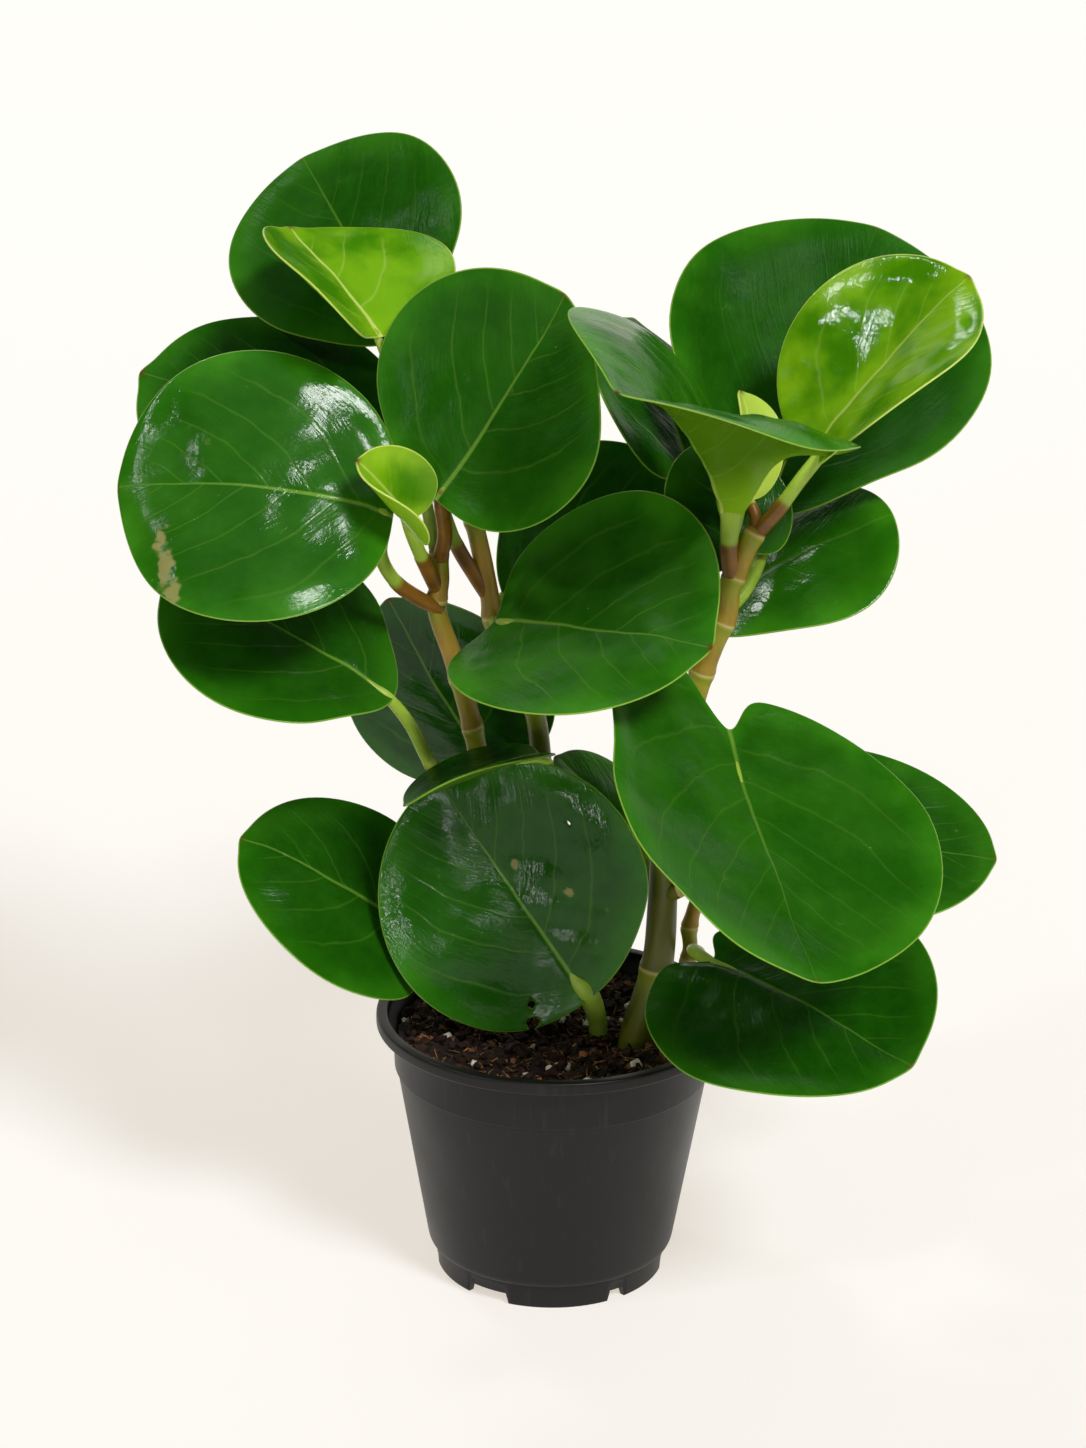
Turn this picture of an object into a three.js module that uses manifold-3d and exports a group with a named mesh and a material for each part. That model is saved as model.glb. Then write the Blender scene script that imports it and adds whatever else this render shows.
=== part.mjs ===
// A potted baby rubber plant (Peperomia obtusifolia) in a black plastic nursery pot.
// Millimetres, +Z up. The origin is the centre of the pot's foot, on the surface it stands on.
// -Y is the side that faces the viewer in the photograph.
import * as THREE from 'three';
import { mergeVertices } from 'three/addons/utils/BufferGeometryUtils.js';
import Module from 'manifold-3d';

const wasm = await Module();
wasm.setup();

// Pot: a 4 inch nursery pot, turned about Z.
const RIM_RADIUS = 54;
const POT_HEIGHT = 84;
const LIP_HEIGHT = 4;
const LIP_INNER_RADIUS = 50.6;
const COLLAR_BOTTOM = 66;
const COLLAR_RADIUS = 48.4;
const COLLAR_STEP = 0.7;
const BODY_BOTTOM = 8.2;
const BODY_BOTTOM_RADIUS = 38;
const FOOT_RADIUS = 35.5;
const FOOT_WIDTH = 2.4;
const WALL = 1.2;
const CENTRE_PAD_RADIUS = 20;
const CHANNEL_RISE = 3.5;
const DRAIN_HOLE_RADIUS = 3;
const DRAIN_HOLE_COUNT = 8;
const DRAIN_CIRCLE_RADIUS = 26.5;
const NOTCH_HEIGHT = 3.5;
const WIDE_NOTCH = 13.8;
const NARROW_NOTCH = 5.6;
const WIDE_NOTCH_AT = 237.5;
const NARROW_NOTCH_AT = 305.7;
const POT_SEGMENTS = 40;

// Soil: dished a little towards the middle, with a crumbly surface.
const SOIL_TOP = 77;
const SOIL_DISH = 1.2;
const SOIL_CRUMB = 0.7;
const SOIL_SEGMENTS = 40;
const BURIED = 11;

// Clearance between pieces that meet, and the thickness of a leaf blade.
const GAP = 0.35;
const BLADE_THICKNESS = 1.2;
const EDGE_THICKNESS = 0.9;
const PETIOLE_RADIUS = 2.1;

const COLOURS = {
  pot: 0x2b2a29,
  soil: 0x2c1c12,
  stem: 0x8a8038,
  leaf: 0x1f5c17,
  youngLeaf: 0x79a51f,
};

const radians = THREE.MathUtils.degToRad;

// ---- Solids ----------------------------------------------------------------------------------

// Joins the shared points of a closed three.js geometry and drops triangles of no area.
function solid(geometry) {
  geometry.deleteAttribute('normal');
  geometry.deleteAttribute('uv');
  const merged = mergeVertices(geometry, 1e-4);
  const index = merged.index.array;
  const triangles = [];
  for (let i = 0; i < index.length; i += 3) {
    const [a, b, c] = [index[i], index[i + 1], index[i + 2]];
    if (a !== b && b !== c && c !== a) triangles.push(a, b, c);
  }
  const vertProperties = new Float32Array(merged.attributes.position.array);
  const triVerts = new Uint32Array(triangles);
  return new wasm.Manifold(new wasm.Mesh({ numProp: 3, vertProperties, triVerts }));
}

function meshOf(name, body, colour, roughness) {
  const { vertProperties, triVerts } = body.getMesh();
  const geometry = new THREE.BufferGeometry();
  geometry.setAttribute('position', new THREE.BufferAttribute(vertProperties, 3));
  geometry.setIndex(new THREE.BufferAttribute(triVerts, 1));
  geometry.computeVertexNormals();
  const material = new THREE.MeshStandardMaterial({ color: colour, roughness, metalness: 0 });
  const mesh = new THREE.Mesh(geometry, material);
  mesh.name = name;
  return mesh;
}

// A solid turned about Z from [radius, height] points that start and end on the axis.
function turned(profile, segments) {
  const points = profile.map(([r, z]) => new THREE.Vector2(r, z));
  const geometry = new THREE.LatheGeometry(points, segments);
  geometry.rotateX(Math.PI / 2);
  return geometry;
}

// A round limb along a smooth curve. radiusAt gives its radius from 0 at the start to 1 at the end,
// and both ends stand out by extra.
function limb(points, radiusAt, rings, sides, extra = 0) {
  const curve = new THREE.CatmullRomCurve3(points.map((p) => new THREE.Vector3(...p)));
  const frames = curve.computeFrenetFrames(rings);
  const profile = [[0, 0]];
  for (let i = 0; i <= rings; i += 1) profile.push([1, i]);
  profile.push([0, rings]);
  const geometry = turned(profile, sides);
  const position = geometry.attributes.position;
  for (let i = 0; i < position.count; i += 1) {
    const ring = Math.round(position.getZ(i));
    const along = ring / rings;
    const centre = curve.getPointAt(along);
    centre.addScaledVector(frames.normals[ring], position.getX(i) * radiusAt(along));
    centre.addScaledVector(frames.binormals[ring], position.getY(i) * radiusAt(along));
    if (ring === 0) centre.addScaledVector(frames.tangents[ring], -extra);
    if (ring === rings) centre.addScaledVector(frames.tangents[ring], extra);
    position.setXYZ(i, centre.x, centre.y, centre.z);
  }
  return solid(geometry);
}

// ---- Pot and soil ----------------------------------------------------------------------------

function boxAt(sizeRadial, sizeAcross, height, radius, angle) {
  const geometry = new THREE.BoxGeometry(sizeRadial, sizeAcross, height);
  geometry.translate(radius, 0, 0);
  geometry.rotateZ(radians(angle));
  return solid(geometry);
}

function makePot() {
  const lipBottom = POT_HEIGHT - LIP_HEIGHT;
  const collarTop = COLLAR_RADIUS + 0.6;
  const bodyTop = COLLAR_RADIUS - COLLAR_STEP;
  const channelTop = CHANNEL_RISE + WALL + 0.3;
  const profile = [
    [0, 0],
    [CENTRE_PAD_RADIUS, 0],
    [CENTRE_PAD_RADIUS + 0.5, CHANNEL_RISE],
    [FOOT_RADIUS - FOOT_WIDTH - 0.4, CHANNEL_RISE],
    [FOOT_RADIUS - FOOT_WIDTH, 0],
    [FOOT_RADIUS - 0.3, 0],
    [FOOT_RADIUS + 0.2, BODY_BOTTOM - 0.4],
    [BODY_BOTTOM_RADIUS - 0.9, BODY_BOTTOM],
    [BODY_BOTTOM_RADIUS, BODY_BOTTOM + 1.4],
    [bodyTop, COLLAR_BOTTOM],
    [COLLAR_RADIUS, COLLAR_BOTTOM + 0.4],
    [collarTop, lipBottom - 0.6],
    [RIM_RADIUS - 0.6, lipBottom],
    [RIM_RADIUS, lipBottom + 0.9],
    [RIM_RADIUS, POT_HEIGHT - 1.3],
    [RIM_RADIUS - 0.7, POT_HEIGHT - 0.3],
    [RIM_RADIUS - 1.9, POT_HEIGHT],
    [LIP_INNER_RADIUS + 0.5, POT_HEIGHT - 0.2],
    [LIP_INNER_RADIUS, POT_HEIGHT - 0.9],
    [collarTop - WALL, lipBottom - 2],
    [bodyTop - WALL, COLLAR_BOTTOM],
    [BODY_BOTTOM_RADIUS - WALL, BODY_BOTTOM + 1.4],
    [FOOT_RADIUS - 1.4, channelTop],
    [CENTRE_PAD_RADIUS - 0.5, channelTop],
    [CENTRE_PAD_RADIUS - 1, WALL + 0.3],
    [0, WALL + 0.3],
  ];
  let pot = solid(turned(profile, POT_SEGMENTS));
  for (let i = 0; i < 3; i += 1) {
    const wide = boxAt(6, WIDE_NOTCH, 2 * NOTCH_HEIGHT, FOOT_RADIUS, WIDE_NOTCH_AT + i * 120);
    const narrow = boxAt(6, NARROW_NOTCH, 2 * NOTCH_HEIGHT, FOOT_RADIUS, NARROW_NOTCH_AT + i * 120);
    pot = pot.subtract(wide).subtract(narrow);
  }
  for (let i = 0; i < DRAIN_HOLE_COUNT; i += 1) {
    const hole = new THREE.CylinderGeometry(DRAIN_HOLE_RADIUS, DRAIN_HOLE_RADIUS, 6, 12);
    hole.rotateX(Math.PI / 2);
    hole.translate(DRAIN_CIRCLE_RADIUS, 0, CHANNEL_RISE);
    hole.rotateZ((i * 2 * Math.PI) / DRAIN_HOLE_COUNT);
    pot = pot.subtract(solid(hole));
  }
  return pot;
}

function soilHeight(x, y) {
  const dish = SOIL_DISH * (1 - (x * x + y * y) / 47 ** 2);
  const crumbs = Math.sin(0.31 * x + 1.7) * Math.cos(0.27 * y) + 0.6 * Math.sin(0.55 * y - 0.47 * x);
  return SOIL_TOP - dish + SOIL_CRUMB * crumbs;
}

function makeSoil() {
  const inner = COLLAR_RADIUS + 0.6 - WALL - GAP;
  const bodyInner = COLLAR_RADIUS - COLLAR_STEP - WALL - GAP;
  const channelTop = CHANNEL_RISE + WALL + 0.3 + GAP;
  const surface = [inner - 0.2, 40, 32, 23, 12, 0];
  const profile = [
    [0, WALL + 0.3 + GAP],
    [CENTRE_PAD_RADIUS - 1 - GAP, WALL + 0.3 + GAP],
    [CENTRE_PAD_RADIUS - 0.5 - GAP, channelTop],
    [FOOT_RADIUS - 1.9, channelTop],
    [BODY_BOTTOM_RADIUS - WALL - GAP, BODY_BOTTOM + 1.6],
    [bodyInner, COLLAR_BOTTOM],
    ...surface.map((r) => [r, SOIL_TOP]),
  ];
  const geometry = turned(profile, SOIL_SEGMENTS);
  const position = geometry.attributes.position;
  for (let i = 0; i < position.count; i += 1) {
    if (position.getZ(i) > SOIL_TOP - 0.01) {
      position.setZ(i, soilHeight(position.getX(i), position.getY(i)));
    }
  }
  return solid(geometry);
}

// ---- Stems -----------------------------------------------------------------------------------

// Each stem is a list of points from below the soil to its growing end. Nodes are the ringed
// swellings, given as the share of the stem's length at which they stand.
const STEMS = [
  {
    name: 'stem_left',
    radius: [3.9, 2.6],
    nodes: [0.28, 0.5, 0.64, 0.74, 0.9, 0.99],
    points: [[-4, 22, SOIL_TOP - BURIED], [-6, 22, 78], [-16, 18.5, 122], [-24, 16.5, 163],
      [-28, 16, 180], [-31.5, 14.5, 193], [-36, 13.5, 207], [-35, 13, 217], [-35.5, 13, 227]],
  },
  {
    name: 'stem_back',
    radius: [4, 2.4],
    nodes: [0.3, 0.5, 0.65, 0.8, 0.99],
    points: [[-1, 33, SOIL_TOP - BURIED], [-1, 33, 80], [-2.5, 33, 120], [-6, 33, 165], [-13, 32.5, 182],
      [-19, 31.5, 196], [-21, 31, 208], [-24.5, 30, 226], [-31, 28, 252], [-37, 27, 271]],
  },
  {
    name: 'stem_right',
    radius: [5.1, 2.6],
    nodes: [0.2, 0.43, 0.6, 0.74, 0.83, 0.91, 0.99],
    points: [[24, -7, SOIL_TOP - BURIED], [25.5, -7, 77], [29, -7, 91], [31.5, -7, 104], [32.5, -7, 123],
      [33, -7, 148], [36, -7, 170], [41, -7, 190], [45, -7, 203], [49, -6, 213], [50, -6, 221],
      [53, -5, 229], [57.5, -4, 239]],
  },
  {
    name: 'stem_side_shoot',
    radius: [2.7, 2.1],
    nodes: [0.35, 0.6, 0.8],
    points: [[35, 9, SOIL_TOP - BURIED], [37, 9, 79], [41.5, 9, 98], [41.5, 9, 108], [44, 9, 118]],
  },
];

function stemRadius(stem, swell) {
  return (along) => {
    const [low, high] = stem.radius;
    const rings = stem.nodes.map((at) => Math.exp(-(((along - at) / 0.02) ** 2)));
    const flare = Math.exp(-(((along - 0.08) / 0.06) ** 2));
    return low + (high - low) * along + swell + 0.5 * Math.max(...rings) + 0.6 * flare;
  };
}

function makeStem(stem, swell) {
  const rings = Math.round(new THREE.CatmullRomCurve3(
    stem.points.map((p) => new THREE.Vector3(...p)),
  ).getLength() / 7);
  return limb(stem.points, stemRadius(stem, swell), rings, 8, swell);
}

// ---- Leaves ----------------------------------------------------------------------------------

// A leaf is described by where its blade starts and how it is held and bent:
//   base      where the petiole meets the blade
//   heading   compass direction of the midrib, 0 along +X and 90 along +Y
//   rise      angle of the midrib above the horizontal at the base
//   roll      turn of the blade about its midrib
//   long/wide size of the blade laid flat
//   egg       how much wider the half near the petiole is
//   sinus     depth of the bay where the petiole enters, notch its half width in radians
//   lobes     extra length of the left and right basal lobes
//   fold      trough angle of each half at the base and at the tip
//   cup       further turning of each half out to the margin
//   arch      how far the midrib bends down from base to tip
//   twist     turn of the tip against the base
//   path      points of the petiole, from inside its stem or the soil
const LEAVES = [
  {
    name: 'leaf_top_left', base: [-46, 38, 283.5], heading: 136, rise: 47, roll: -45, long: 73, wide: 75,
    sinus: 0, lobes: [-3, -4], fold: [22, -2], cup: 8, arch: 23, twist: -2,
    path: [[-37, 27, 271], [-40, 30, 277]],
  },
  {
    name: 'leaf_young_folded', young: true, base: [-52, 15, 290.5], heading: 133, rise: 31, roll: 0,
    long: 57, wide: 68, egg: 0.06, sinus: 9, fold: [44, 22], cup: 1, arch: 1, twist: 9, petiole: 1.9,
    path: [[-36, 14, 223], [-39.5, 15, 241], [-43.5, 13, 260], [-48.5, 15.5, 277]],
  },
  {
    name: 'leaf_centre_top', base: [-36, 0, 245], heading: 9, rise: 54, roll: 55, long: 75, wide: 81,
    egg: -0.03, sinus: 2, lobes: [-2, 0], fold: [12, 11], cup: 9, arch: -23, twist: -10,
    path: [[-35, 12, 224], [-33.5, 7, 233]],
  },
  {
    name: 'leaf_small_cupped', young: true, base: [-42, -7, 240], heading: 215, rise: 51, roll: -54,
    long: 34, wide: 31, egg: 0.07, sinus: 6, notch: 0.4, lobes: [0, -2], fold: [37, 30], cup: 16,
    arch: 7, twist: -3, path: [[-36, 13, 214], [-40, 4, 226]],
  },
  {
    name: 'leaf_left_large', base: [-48, -6, 242], heading: 196, rise: 22, roll: -50, long: 84, wide: 85,
    sinus: 1, lobes: [0, 1], fold: [6, 2], cup: -1, arch: 52, twist: -12,
    path: [[-35, 13, 208], [-41, 9, 212], [-48, 4, 219], [-52, -1, 229]],
  },
  {
    name: 'leaf_left_back', base: [-49, 16, 258], heading: 167, rise: 12, roll: -30, long: 80, wide: 76,
    sinus: 2, fold: [-1, 1], cup: -4, arch: 2, twist: -4,
    path: [[-21, 31, 206], [-25, 29, 213], [-31, 25, 225], [-39, 20, 247]],
  },
  {
    name: 'leaf_left_low', base: [-47, -3, 185], heading: 174, rise: 33, roll: -20, long: 77, wide: 72,
    egg: -0.03, sinus: 0, lobes: [-4, -5], fold: [6, -3], cup: -2, arch: 16, twist: -14,
    path: [[-24, 16, 146], [-36, 10, 157], [-43, 2, 174]],
  },
  {
    name: 'leaf_behind_stems', base: [-20, 47.5, 143.6], heading: 187, rise: 58, roll: -116, long: 69,
    wide: 69, egg: 0.09, sinus: 6, notch: 0.39, lobes: [-2, -1], fold: [-5, 8], cup: -2, arch: 10,
    twist: -3, path: [[-3, 33, 118], [-9, 39, 128]],
  },
  {
    name: 'leaf_centre', base: [-19, 6, 207], heading: 321, rise: 9, roll: 31, long: 83, wide: 91,
    egg: -0.03, sinus: 6, notch: 0.34, lobes: [1, 0], fold: [15, 14], cup: 12, arch: 8, twist: 4,
    path: [[-20, 31, 207], [-23, 20, 205]],
  },
  {
    name: 'leaf_centre_back', base: [-17, 39, 203], heading: 8, rise: 27, roll: 68, long: 68, wide: 66,
    egg: 0.03, sinus: 1, lobes: [-4, 0], fold: [10, 5], cup: 7, arch: 13, twist: 1,
    path: [[-19, 31.5, 198], [-18.5, 36, 201]],
  },
  {
    name: 'leaf_right_inner', base: [54, 4, 228], heading: 133, rise: 58, roll: -25, long: 42, wide: 39,
    egg: 0.08, sinus: 6, fold: [11, 6], cup: 8, arch: 6, path: [[50, -6, 222], [52, -1, 225]],
  },
  {
    name: 'leaf_trumpet', base: [47, -10, 245], heading: 254, rise: 59, roll: -26, long: 85, wide: 99,
    sinus: 0, lobes: [-9, 3], fold: [130, 60], cup: -97, arch: 46, twist: -6,
    path: [[50.5, -6, 222], [50, -9, 231]],
  },
  {
    name: 'leaf_right_young', young: true, base: [75, -1, 263], heading: 4, rise: 58, roll: 16, long: 70,
    wide: 68, egg: 0.02, sinus: 6, notch: 0.26, fold: [24, 2], cup: 18, arch: 18, twist: 17,
    path: [[56, -5, 234], [64, -4.5, 244], [70, -3.5, 254]],
  },
  {
    name: 'leaf_right_large', base: [61, 22, 235], heading: 63, rise: 42, roll: 26, long: 100, wide: 104,
    egg: -0.03, sinus: 0, lobes: [-1, -7], fold: [46, -6], cup: 11, arch: -16, twist: -7,
    path: [[49, -6, 214], [55, 0, 219], [60, 11, 227]],
  },
  {
    name: 'leaf_right_side', base: [55, 15, 216], heading: 3, rise: 30, roll: 18, long: 57, wide: 58,
    egg: -0.02, sinus: 8, lobes: [0, 11], fold: [1, -10], cup: -13, arch: 10, twist: 14,
    path: [[45, -7, 202], [47, 3, 206]],
  },
  {
    name: 'leaf_back_upper', base: [40, 34, 242], heading: 111, rise: 45, roll: 21, long: 63, wide: 61,
    egg: 0.04, sinus: 4, fold: [8, -4], cup: -2, arch: 7, twist: 13,
    path: [[47, -6, 208], [47, 6, 213], [43, 24, 230]],
  },
  {
    name: 'leaf_heart', base: [50, -19, 182], heading: 284, rise: -36, roll: -15, long: 106, wide: 106,
    egg: -0.03, sinus: 13, notch: 0.13, lobes: [-3, 19], fold: [16, 19], cup: 1, arch: -14, twist: -2,
    path: [[37.5, -7, 176], [42, -10, 183]],
  },
  {
    name: 'leaf_right_low', base: [56, 30, 135], heading: 355, rise: -10, roll: 30, long: 83, wide: 71,
    egg: 0.08, sinus: 3, fold: [4, 6], arch: -8, twist: -5,
    path: [[33, -7, 133], [40, 6, 137], [48, 24, 138]],
  },
  {
    name: 'leaf_over_rim', base: [46, -19, 110], heading: 320, rise: -6, roll: 18, long: 85, wide: 86,
    egg: 0.02, sinus: 11, notch: 0.14, lobes: [-13, 1], fold: [-4, 18], cup: -4, arch: 11, twist: 3,
    path: [[42.5, 9, 99], [44, 0, 103], [42, -10, 108]],
  },
  {
    name: 'leaf_front_round', base: [11, -16, 94], heading: 159, rise: 51, roll: -76, long: 82, wide: 85,
    egg: 0.06, sinus: 1, lobes: [1, -3], fold: [6, 9], cup: 4, arch: 6, twist: 3, petiole: 2.9,
    path: [[14, -1, SOIL_TOP - BURIED], [14, -2, 76], [13, -8, 86]],
  },
  {
    name: 'leaf_curled_over', base: [-5, -4, 169], heading: 202, rise: -7, roll: 12, long: 48, wide: 43,
    egg: 0.06, sinus: 4, lobes: [1, 0], fold: [3, 12], cup: 4, arch: 14, twist: 7,
    path: [[-21, 17, 141], [-8, 12, 155], [1, 2, 167]],
  },
  {
    name: 'leaf_left_lowest', base: [-44, 6, 107], heading: 190, rise: 40, roll: -39, long: 68, wide: 67,
    egg: 0.1, sinus: 9, notch: 0.33, lobes: [5, 0], fold: [4, -3], cup: -5, arch: 23, twist: 6,
    path: [[-9, 21, 92], [-24, 14, 93], [-37, 8, 100]],
  },
  {
    name: 'leaf_small_inner', base: [25, 8, 138], heading: 167, rise: 46, roll: -13, long: 40, wide: 38,
    egg: 0.06, sinus: 6, fold: [4, 0], cup: -4, arch: 11, twist: 2,
    path: [[32, -7, 121], [29, 1, 128]],
  },
  {
    name: 'leaf_bud', young: true, base: [60, -1, 250], heading: 147, rise: 78, roll: -20, long: 34,
    wide: 17, egg: 0.07, sinus: 3, fold: [36, 31], cup: 7, arch: 16, twist: 1, petiole: 1.6,
    path: [[55, -4.5, 235], [56, 0, 243]],
  },
];

const PLAIN_LEAF = {
  egg: 0, sinus: 0, notch: 0.38, lobes: [0, 0], cup: 0, arch: 0, twist: 0, petiole: PETIOLE_RADIUS,
};
const TIP_POINT = 0.02;
const LOBE_ANGLE = 0.62;
const LOBE_SPREAD = 0.42;

const hump = (offset, spread) => Math.exp(-((offset / spread) ** 2));

// The flat blade's margin at an angle about its middle, 0 at the tip and pi at the petiole.
function margin(leaf, angle) {
  const fromBase = Math.abs(Math.PI - angle);
  const fromTip = Math.PI - fromBase;
  const [left, right] = leaf.lobes;
  let u = (leaf.long / 2) * (1 + Math.cos(angle)) - leaf.sinus;
  u += leaf.sinus * hump(fromBase, leaf.notch);
  u += TIP_POINT * leaf.long * hump(fromTip, 0.12);
  u -= left * hump(angle - (Math.PI - LOBE_ANGLE), LOBE_SPREAD);
  u -= right * hump(angle - (Math.PI + LOBE_ANGLE), LOBE_SPREAD);
  const v = (leaf.wide / 2) * Math.sin(angle) * (1 - leaf.egg * Math.cos(angle));
  return [u, v];
}

// The point of the bent blade that lies u along the midrib and v to its left when laid flat.
function bladePoint(leaf, u, v) {
  const midrib = leaf.long - leaf.sinus;
  const [foldBase, foldTip] = leaf.fold;
  const share = THREE.MathUtils.clamp(u / midrib, -0.2, 1.1);
  const fold = radians(foldBase + (foldTip - foldBase) * share);
  const steps = 10;
  const reach = Math.abs(v);
  let across = 0;
  let lift = 0;
  for (let i = 0; i < steps; i += 1) {
    const t = (reach * (i + 0.5)) / steps;
    const slope = (fold * t) / (t + 0.06 * leaf.wide) + (radians(leaf.cup) * t) / (leaf.wide / 2);
    across += (Math.cos(slope) * reach) / steps;
    lift += (Math.sin(slope) * reach) / steps;
  }
  across *= Math.sign(v);
  const turn = (radians(leaf.twist) * u) / midrib;
  const side = across * Math.cos(turn) - lift * Math.sin(turn);
  const up = across * Math.sin(turn) + lift * Math.cos(turn);
  const bend = -radians(leaf.arch || 0.01) / midrib;
  const forward = Math.sin(bend * u) / bend - Math.sin(bend * u) * up;
  const height = (1 - Math.cos(bend * u)) / bend + Math.cos(bend * u) * up;
  return new THREE.Vector3(forward, side, height).applyMatrix4(leaf.frame);
}

// The frame of the blade: X along the midrib, Y to its left and Z out of the upper face.
function leafFrame(leaf) {
  const frame = new THREE.Matrix4().makeRotationZ(radians(leaf.heading));
  frame.multiply(new THREE.Matrix4().makeRotationY(-radians(leaf.rise)));
  frame.multiply(new THREE.Matrix4().makeRotationX(radians(leaf.roll)));
  return frame.setPosition(...leaf.base);
}

function bladeNormal(leaf, u, v) {
  const step = 0.5;
  const along = bladePoint(leaf, u + step, v).sub(bladePoint(leaf, u - step, v));
  const aside = bladePoint(leaf, u, v + step).sub(bladePoint(leaf, u, v - step));
  return along.cross(aside).normalize();
}

function makeBlade(leaf) {
  const points = leaf.long > 50 ? 22 : 16;
  const rings = leaf.fold[0] > 30 ? [0.12, 0.3, 0.6, 1] : [0.35, 0.7, 1];
  const half = (ring) => (BLADE_THICKNESS + (EDGE_THICKNESS - BLADE_THICKNESS) * ring) / 2;
  const under = rings.map((ring) => [ring, -half(ring)]);
  const over = [...rings].reverse().map((ring) => [ring, half(ring)]);
  const profile = [[0, -half(0)], ...under, ...over, [0, half(0)]];
  const geometry = turned(profile, points);
  const position = geometry.attributes.position;
  const middle = 0.42 * (leaf.long - leaf.sinus);
  for (let i = 0; i < position.count; i += 1) {
    const [x, y, offset] = [position.getX(i), position.getY(i), position.getZ(i)];
    const ring = Math.hypot(x, y);
    const even = ring < 1e-6 ? 0 : (Math.atan2(y, x) + 2 * Math.PI) % (2 * Math.PI);
    const [u, v] = margin(leaf, even - 0.25 * Math.sin(2 * even));
    const flatU = middle + (u - middle) * ring;
    const point = bladePoint(leaf, flatU, v * ring);
    point.addScaledVector(bladeNormal(leaf, flatU, v * ring), offset);
    position.setXYZ(i, point.x, point.y, point.z);
  }
  return solid(geometry);
}

// The petiole runs on under the blade as the thick start of the midrib.
function makePetiole(leaf, extra = 0) {
  const under = (share, depth) => {
    const u = share * (leaf.long - leaf.sinus);
    return bladePoint(leaf, u, 0).addScaledVector(bladeNormal(leaf, u, 0), -depth).toArray();
  };
  const points = [...leaf.path, under(0.02, 1.7), under(0.1, 0.9), under(0.2, 0.5)];
  const radius = (along) => leaf.petiole * (1 - 0.62 * along ** 3);
  return limb(points, radius, leaf.path.length + 4, 6, extra);
}

function makeLeaf(plain) {
  const leaf = { ...PLAIN_LEAF, ...plain };
  leaf.frame = leafFrame(leaf);
  return makeBlade(leaf).add(makePetiole(leaf));
}

// ---- The plant -------------------------------------------------------------------------------

const plant = new THREE.Group();
plant.add(meshOf('pot', makePot(), COLOURS.pot, 0.5));

let soil = makeSoil();
const clearances = STEMS.map((stem) => makeStem(stem, GAP));
STEMS.forEach((stem, i) => {
  plant.add(meshOf(stem.name, makeStem(stem, 0), COLOURS.stem, 0.55));
  soil = soil.subtract(clearances[i]);
});

for (const leaf of LEAVES) {
  let body = makeLeaf(leaf);
  for (const clearance of clearances) body = body.subtract(clearance);
  const colour = leaf.young ? COLOURS.youngLeaf : COLOURS.leaf;
  plant.add(meshOf(leaf.name, body, colour, 0.35));
}

// The front leaf grows straight from the soil, through a hole a little wider than its petiole.
const front = LEAVES.find((leaf) => leaf.name === 'leaf_front_round');
const frontHole = { ...PLAIN_LEAF, ...front, petiole: front.petiole + 2 * GAP };
frontHole.frame = leafFrame(frontHole);
soil = soil.subtract(makePetiole(frontHole, GAP));
plant.add(meshOf('soil', soil, COLOURS.soil, 0.95));

export default plant;
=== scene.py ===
"""A potted baby rubber plant in a black nursery pot, dressed around its frame.

The leaves are thick, waxy blades on pale petioles, carried by ringed succulent stems that stand in dark
peat. Sizes in the tables are millimetres and degrees, and MM turns them to metres.
"""

import math
import random
from functools import partial

import bmesh
import bpy
import numpy as np
from bpy.props import FloatProperty, FloatVectorProperty, IntProperty, PointerProperty
from mathutils import Matrix, Vector, noise


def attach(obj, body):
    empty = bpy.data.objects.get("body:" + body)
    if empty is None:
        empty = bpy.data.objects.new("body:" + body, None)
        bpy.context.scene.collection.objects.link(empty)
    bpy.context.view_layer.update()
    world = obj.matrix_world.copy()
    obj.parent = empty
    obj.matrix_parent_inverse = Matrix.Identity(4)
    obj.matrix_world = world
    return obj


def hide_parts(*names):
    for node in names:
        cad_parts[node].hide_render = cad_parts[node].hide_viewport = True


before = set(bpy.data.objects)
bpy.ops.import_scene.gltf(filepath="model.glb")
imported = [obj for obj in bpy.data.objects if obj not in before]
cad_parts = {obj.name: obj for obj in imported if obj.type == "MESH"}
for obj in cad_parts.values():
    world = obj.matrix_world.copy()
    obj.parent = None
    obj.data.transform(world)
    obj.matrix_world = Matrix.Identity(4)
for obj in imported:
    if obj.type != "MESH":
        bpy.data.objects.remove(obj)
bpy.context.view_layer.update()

bl_info = {
    "name": "Potted baby rubber plant",
    "version": (1, 0, 0),
    "blender": (4, 5, 0),
    "location": "3D View > Sidebar > Plant",
    "description": "Leaves, stems, soil and nursery pot of a baby rubber plant",
    "category": "Add Mesh",
}

MM = 0.001
BODY = "root"

# Settings that many nodes share: a mix of two colours, and a range with soft ends.
COLOURS = {"data_type": "RGBA"}
SOFT = {"interpolation_type": "SMOOTHSTEP"}


# ---- Colours and nodes ----------------------------------------------------------------------

def hex_colour(code):
    """Linear RGBA of an sRGB hex colour such as "#2b2a29"."""
    parts = [int(code[i:i + 2], 16) / 255 for i in (1, 3, 5)]
    linear = [c / 12.92 if c <= 0.04045 else ((c + 0.055) / 1.055) ** 2.4 for c in parts]
    return (*linear, 1.0)


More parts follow.
